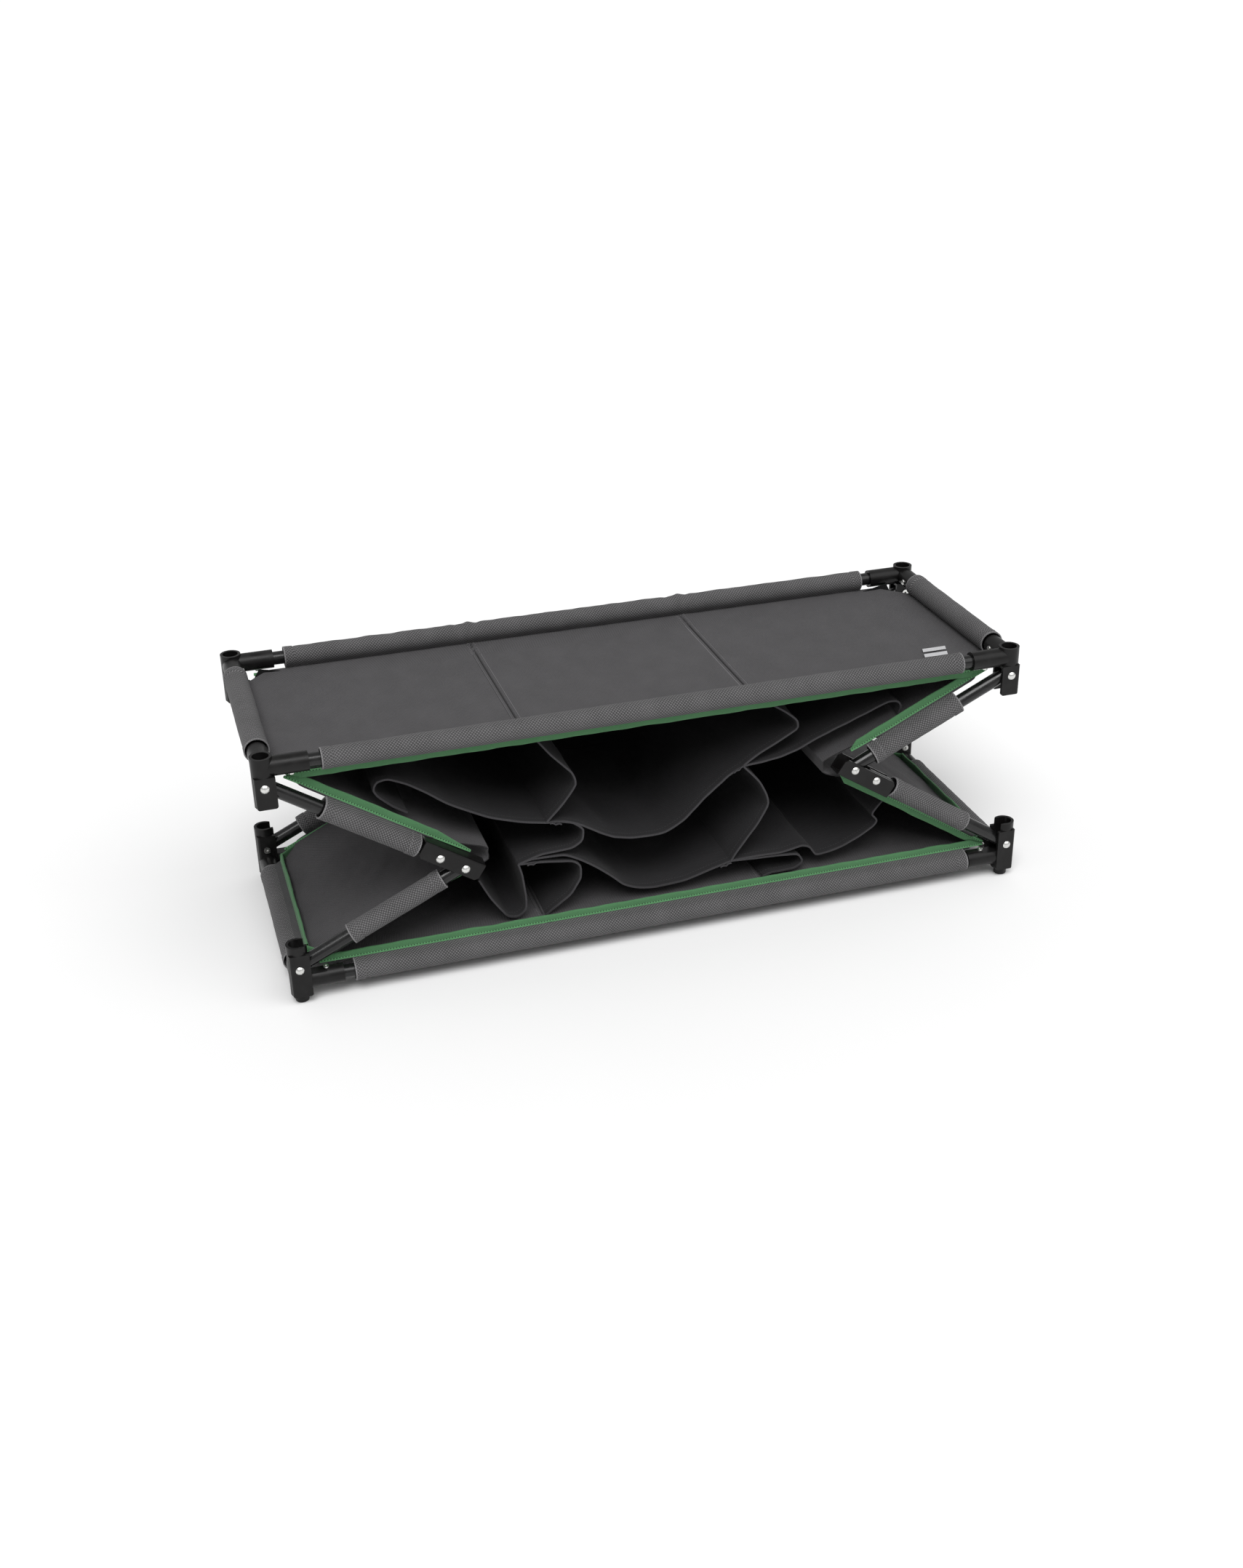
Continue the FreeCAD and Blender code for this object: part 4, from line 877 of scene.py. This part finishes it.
def tack(name, place, slope, body):
    """Small gathered seam end at the front edge, where a divider and a shelf are sewn together."""
    u, v = np.linspace(-1, 1, 9), np.linspace(0, 1, 6)
    angle = math.radians(slope)
    along = u[:, None] * TACK_HALF + 0 * v[None, :]
    fold = 1.6 * np.abs(np.sin(u * 2.6))[:, None] * (1 - 0.5 * v[None, :]) - 1.8
    grid = np.zeros((len(u), len(v), 3))
    grid[..., 0] = place[0] + along * math.cos(angle) - fold * math.sin(angle)
    grid[..., 1] = FRONT - TACK_FORWARD + v[None, :] * TACK_DEPTH
    grid[..., 2] = place[1] + along * math.sin(angle) + fold * math.cos(angle)
    piece = cloth(name, grid, LINING_PAINTED_SHADE, from_edge=grid[..., 1] - FRONT + TACK_FORWARD)
    declared(grid)
    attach(piece, body)


for place_name, place, slope in (("left_upper", (-128, 160), -14.0), ("right_upper", (93, 192), 30.0),
                                 ("left_lower", (-157, 113), 6.0), ("right_lower", (78, 67), 14.0)):
    tack("tack_" + place_name, place, slope, place_name.split("_")[1] + "_shelf")


# ---------------------------------------------------------------------------
# Back panel
# ---------------------------------------------------------------------------
# How much wider than its CAD outline a strip is on each side, and the height of its waves.
BACK_SEWN_OUT = 4.2
BACK_WAVE = 0.45

# Each strip: its name, the level whose CAD outline it follows, its body, the sheet it hangs from,
# its lowest edge, how far behind the CAD strip it lies, and its seed.
BACK_STRIPS = (
    ("bottom", "bottom", "bottom_frame", "bottom_cover_panel", 0.0, 0.0, 201),
    ("middle", "middle", "upper_shelf", "upper_shelf_cloth", 95.0, 0.0, 203),
    ("top", "top", "top_frame", "top_cover_panel", 0.0, 0.0, 205),
    ("low_middle", "bottom", "lower_shelf", "lower_shelf_cloth", 100.0, 1.9, 207),
)


def back_strip(name, level, body, rests_on, lowest, behind, seed):
    """One strip of the back panel, widened a little to the seams."""
    node = "back_panel_" + level
    low, high = (np.array(corner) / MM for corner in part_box(node))
    places = np.array([vertex.co for vertex in frame["nodes"][node].data.vertices]) / MM
    heights = np.linspace(max(low[2], lowest), high[2], 28)
    across = np.linspace(0, 1, 70)
    grid = np.zeros((len(heights), len(across), 3))
    sides = []
    for sign in (-1, 1):
        corners = places[places[:, 0] * sign > 0]
        steps = sorted(set(np.round(corners[:, 2], 2)))
        reach = [max(sign * corners[np.abs(corners[:, 2] - step) < 0.02, 0]) for step in steps]
        sides.append(sign * (np.interp(heights, steps, reach) + BACK_SEWN_OUT))
    grid[..., 0] = sides[0][:, None] + across[None, :] * (sides[1] - sides[0])[:, None]
    grid[..., 2] = heights[:, None]
    wave = BACK_WAVE * ripple(grid[..., 0], grid[..., 2], 140.0, 90.0, seed)
    grid[..., 1] = (low[1] + high[1]) / 2 + behind + wave
    # The strip uses the near-black back fabric: painted shade.
    piece = cloth("back_cloth_" + name, grid, BACKING_PAINTED_SHADE)
    declared(grid)
    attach(piece, body)
    if name == level:
        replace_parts(piece, node)


for strip in BACK_STRIPS:
    back_strip(*strip)

# Seam flaps: their place in depth, their least and greatest width, their ends short of the panel's
# start and of the knee, their seam's distance inside the leg's axis, the angle in degrees by which
# the legs can still close, and the room between the pivot and the nearer cover.
FLAP_DEPTH = 134.0
FLAP_WIDTHS = (3.0, 28.0)
FLAP_ENDS = (6.0, 30.0)
FLAP_SEAM = 13.2
FLAP_CLOSING = 11.5
FLAP_ROOM = {"upper": 8.0, "lower": -3.0}


def back_flap(leg):
    """Seam allowance that closes the back between one leg's side panel and the strips, riding on the leg."""
    _, direction, _, length = leg_frame(leg)
    side, half = leg.split("_")
    shallowest = math.asin(abs(direction[2])) - math.radians(FLAP_CLOSING)
    along = np.linspace(PANEL_START + FLAP_ENDS[0], length - FLAP_ENDS[1], 30)
    width = np.clip(along * math.tan(shallowest) + FLAP_ROOM[half], *FLAP_WIDTHS)
    share = np.linspace(0, 1, 7)
    wave = 0.25 * ripple(along[:, None], width.max() * share[None, :], 90.0, 40.0, 211)
    grid = np.array([[beside(leg, step, FLAP_SEAM + reach * part, FLAP_DEPTH) for part in share]
                     for step, reach in zip(along, width)])
    grid[..., 1] += wave
    # The flap uses the near-black back fabric: painted shade.
    piece = cloth(leg + "_back_flap", grid, BACKING_PAINTED_SHADE)
    declared(grid)
    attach(piece, LEGS[leg][2])


for leg in LEGS:
    back_flap(leg)


# ---------------------------------------------------------------------------
# Plain printed mark on the front right corner of the top cover
# ---------------------------------------------------------------------------
BAR_HALF_LENGTH = 15.0
BAR_HALF_WIDTH = 4.6
BAR_SLANT = 0.35
BAR_STEP = (5.0, 15.0)
PRINT_ABOVE = 0.3
PRINT_CLOTH = 0.25
MARK_X, MARK_Y = HALF_WIDTH + SHIFT - 63.0, -HALF_DEPTH + 60.0


def printed_bar(name, centre_x, centre_y):
    """Thin pale bar printed on the top cover."""
    u, v = np.linspace(-1, 1, 9), np.linspace(-1, 1, 5)
    x = centre_x + u[:, None] * BAR_HALF_LENGTH + v[None, :] * BAR_SLANT * BAR_HALF_WIDTH
    y = centre_y + v[None, :] * BAR_HALF_WIDTH + 0 * u[:, None]
    level = TOP_AXIS - SEAM_DROP - PRINT_ABOVE
    grid = np.stack([x, y, level + 0 * x], axis=-1)
    piece = cloth(name, grid, PRINT, PRINT_CLOTH)
    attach(piece, "top_frame")


for bar in range(2):
    printed_bar("printed_bar_%d" % bar, MARK_X + BAR_STEP[0] * bar, MARK_Y + BAR_STEP[1] * bar)


# ---------------------------------------------------------------------------
# Floor, light and camera
# ---------------------------------------------------------------------------
FLOOR_REACH = 60.0
CAMERA_PLACE = (-0.564, -1.851, 1.120)
CAMERA_RIGHT = Vector((0.9550, -0.2959, -0.0205))
CAMERA_UP = Vector((0.1525, 0.4306, 0.8896))
CAMERA_FORWARD = Vector((0.2544, 0.8527, -0.4563))
CAMERA_LENS = 51.44


def plain_floor():
    """Large pale floor with a very faint tone variation."""
    mesh = bpy.data.meshes.new("studio_floor")
    corners = [(x * FLOOR_REACH, y * FLOOR_REACH, 0) for x, y in ((-1, -1), (1, -1), (1, 1), (-1, 1))]
    mesh.from_pydata(corners, [], [(0, 1, 2, 3)])
    floor = bpy.data.objects.new("studio_floor", mesh)
    bpy.context.scene.collection.objects.link(floor)
    material, tree, shader = new_material("floor_paper", 0.9, specular=0.1)
    place = tree.nodes.new("ShaderNodeTexCoord").outputs["Object"]
    tone = colour_mix(tree, noise(tree, place, 3.0, 2.0), (0.86, 0.86, 0.86), (0.88, 0.88, 0.88))
    tree.links.new(tone, shader.inputs["Base Color"])
    mesh.materials.append(material)


def soft_sun(name, direction, strength, spread):
    """Even soft light from one direction."""
    data = bpy.data.lights.new(name, "SUN")
    data.energy = strength
    data.angle = math.radians(spread)
    light = bpy.data.objects.new(name, data)
    light.rotation_euler = Vector(direction).to_track_quat("-Z", "Y").to_euler()
    bpy.context.scene.collection.objects.link(light)


plain_floor()
soft_sun("key_light", (0.35, 0.78, -1.3), 2.0, 35.0)
soft_sun("fill_light", (-0.7, 0.8, -1.2), 0.75, 50.0)
world = bpy.data.worlds.new("studio")
world.use_nodes = True
background = world.node_tree.nodes["Background"]
background.inputs["Color"].default_value = (1.0, 1.0, 1.0, 1.0)
background.inputs["Strength"].default_value = 0.5
bpy.context.scene.world = world
bpy.context.scene.view_settings.view_transform = "Standard"

camera_data = bpy.data.cameras.new("camera")
camera_data.sensor_fit = "HORIZONTAL"
camera_data.sensor_width = 36.0
camera_data.lens = CAMERA_LENS
camera = bpy.data.objects.new("camera", camera_data)
turn = Matrix((CAMERA_RIGHT, CAMERA_UP, -CAMERA_FORWARD)).transposed().to_4x4()
camera.matrix_world = Matrix.Translation(CAMERA_PLACE) @ turn
bpy.context.scene.collection.objects.link(camera)
bpy.context.scene.camera = camera
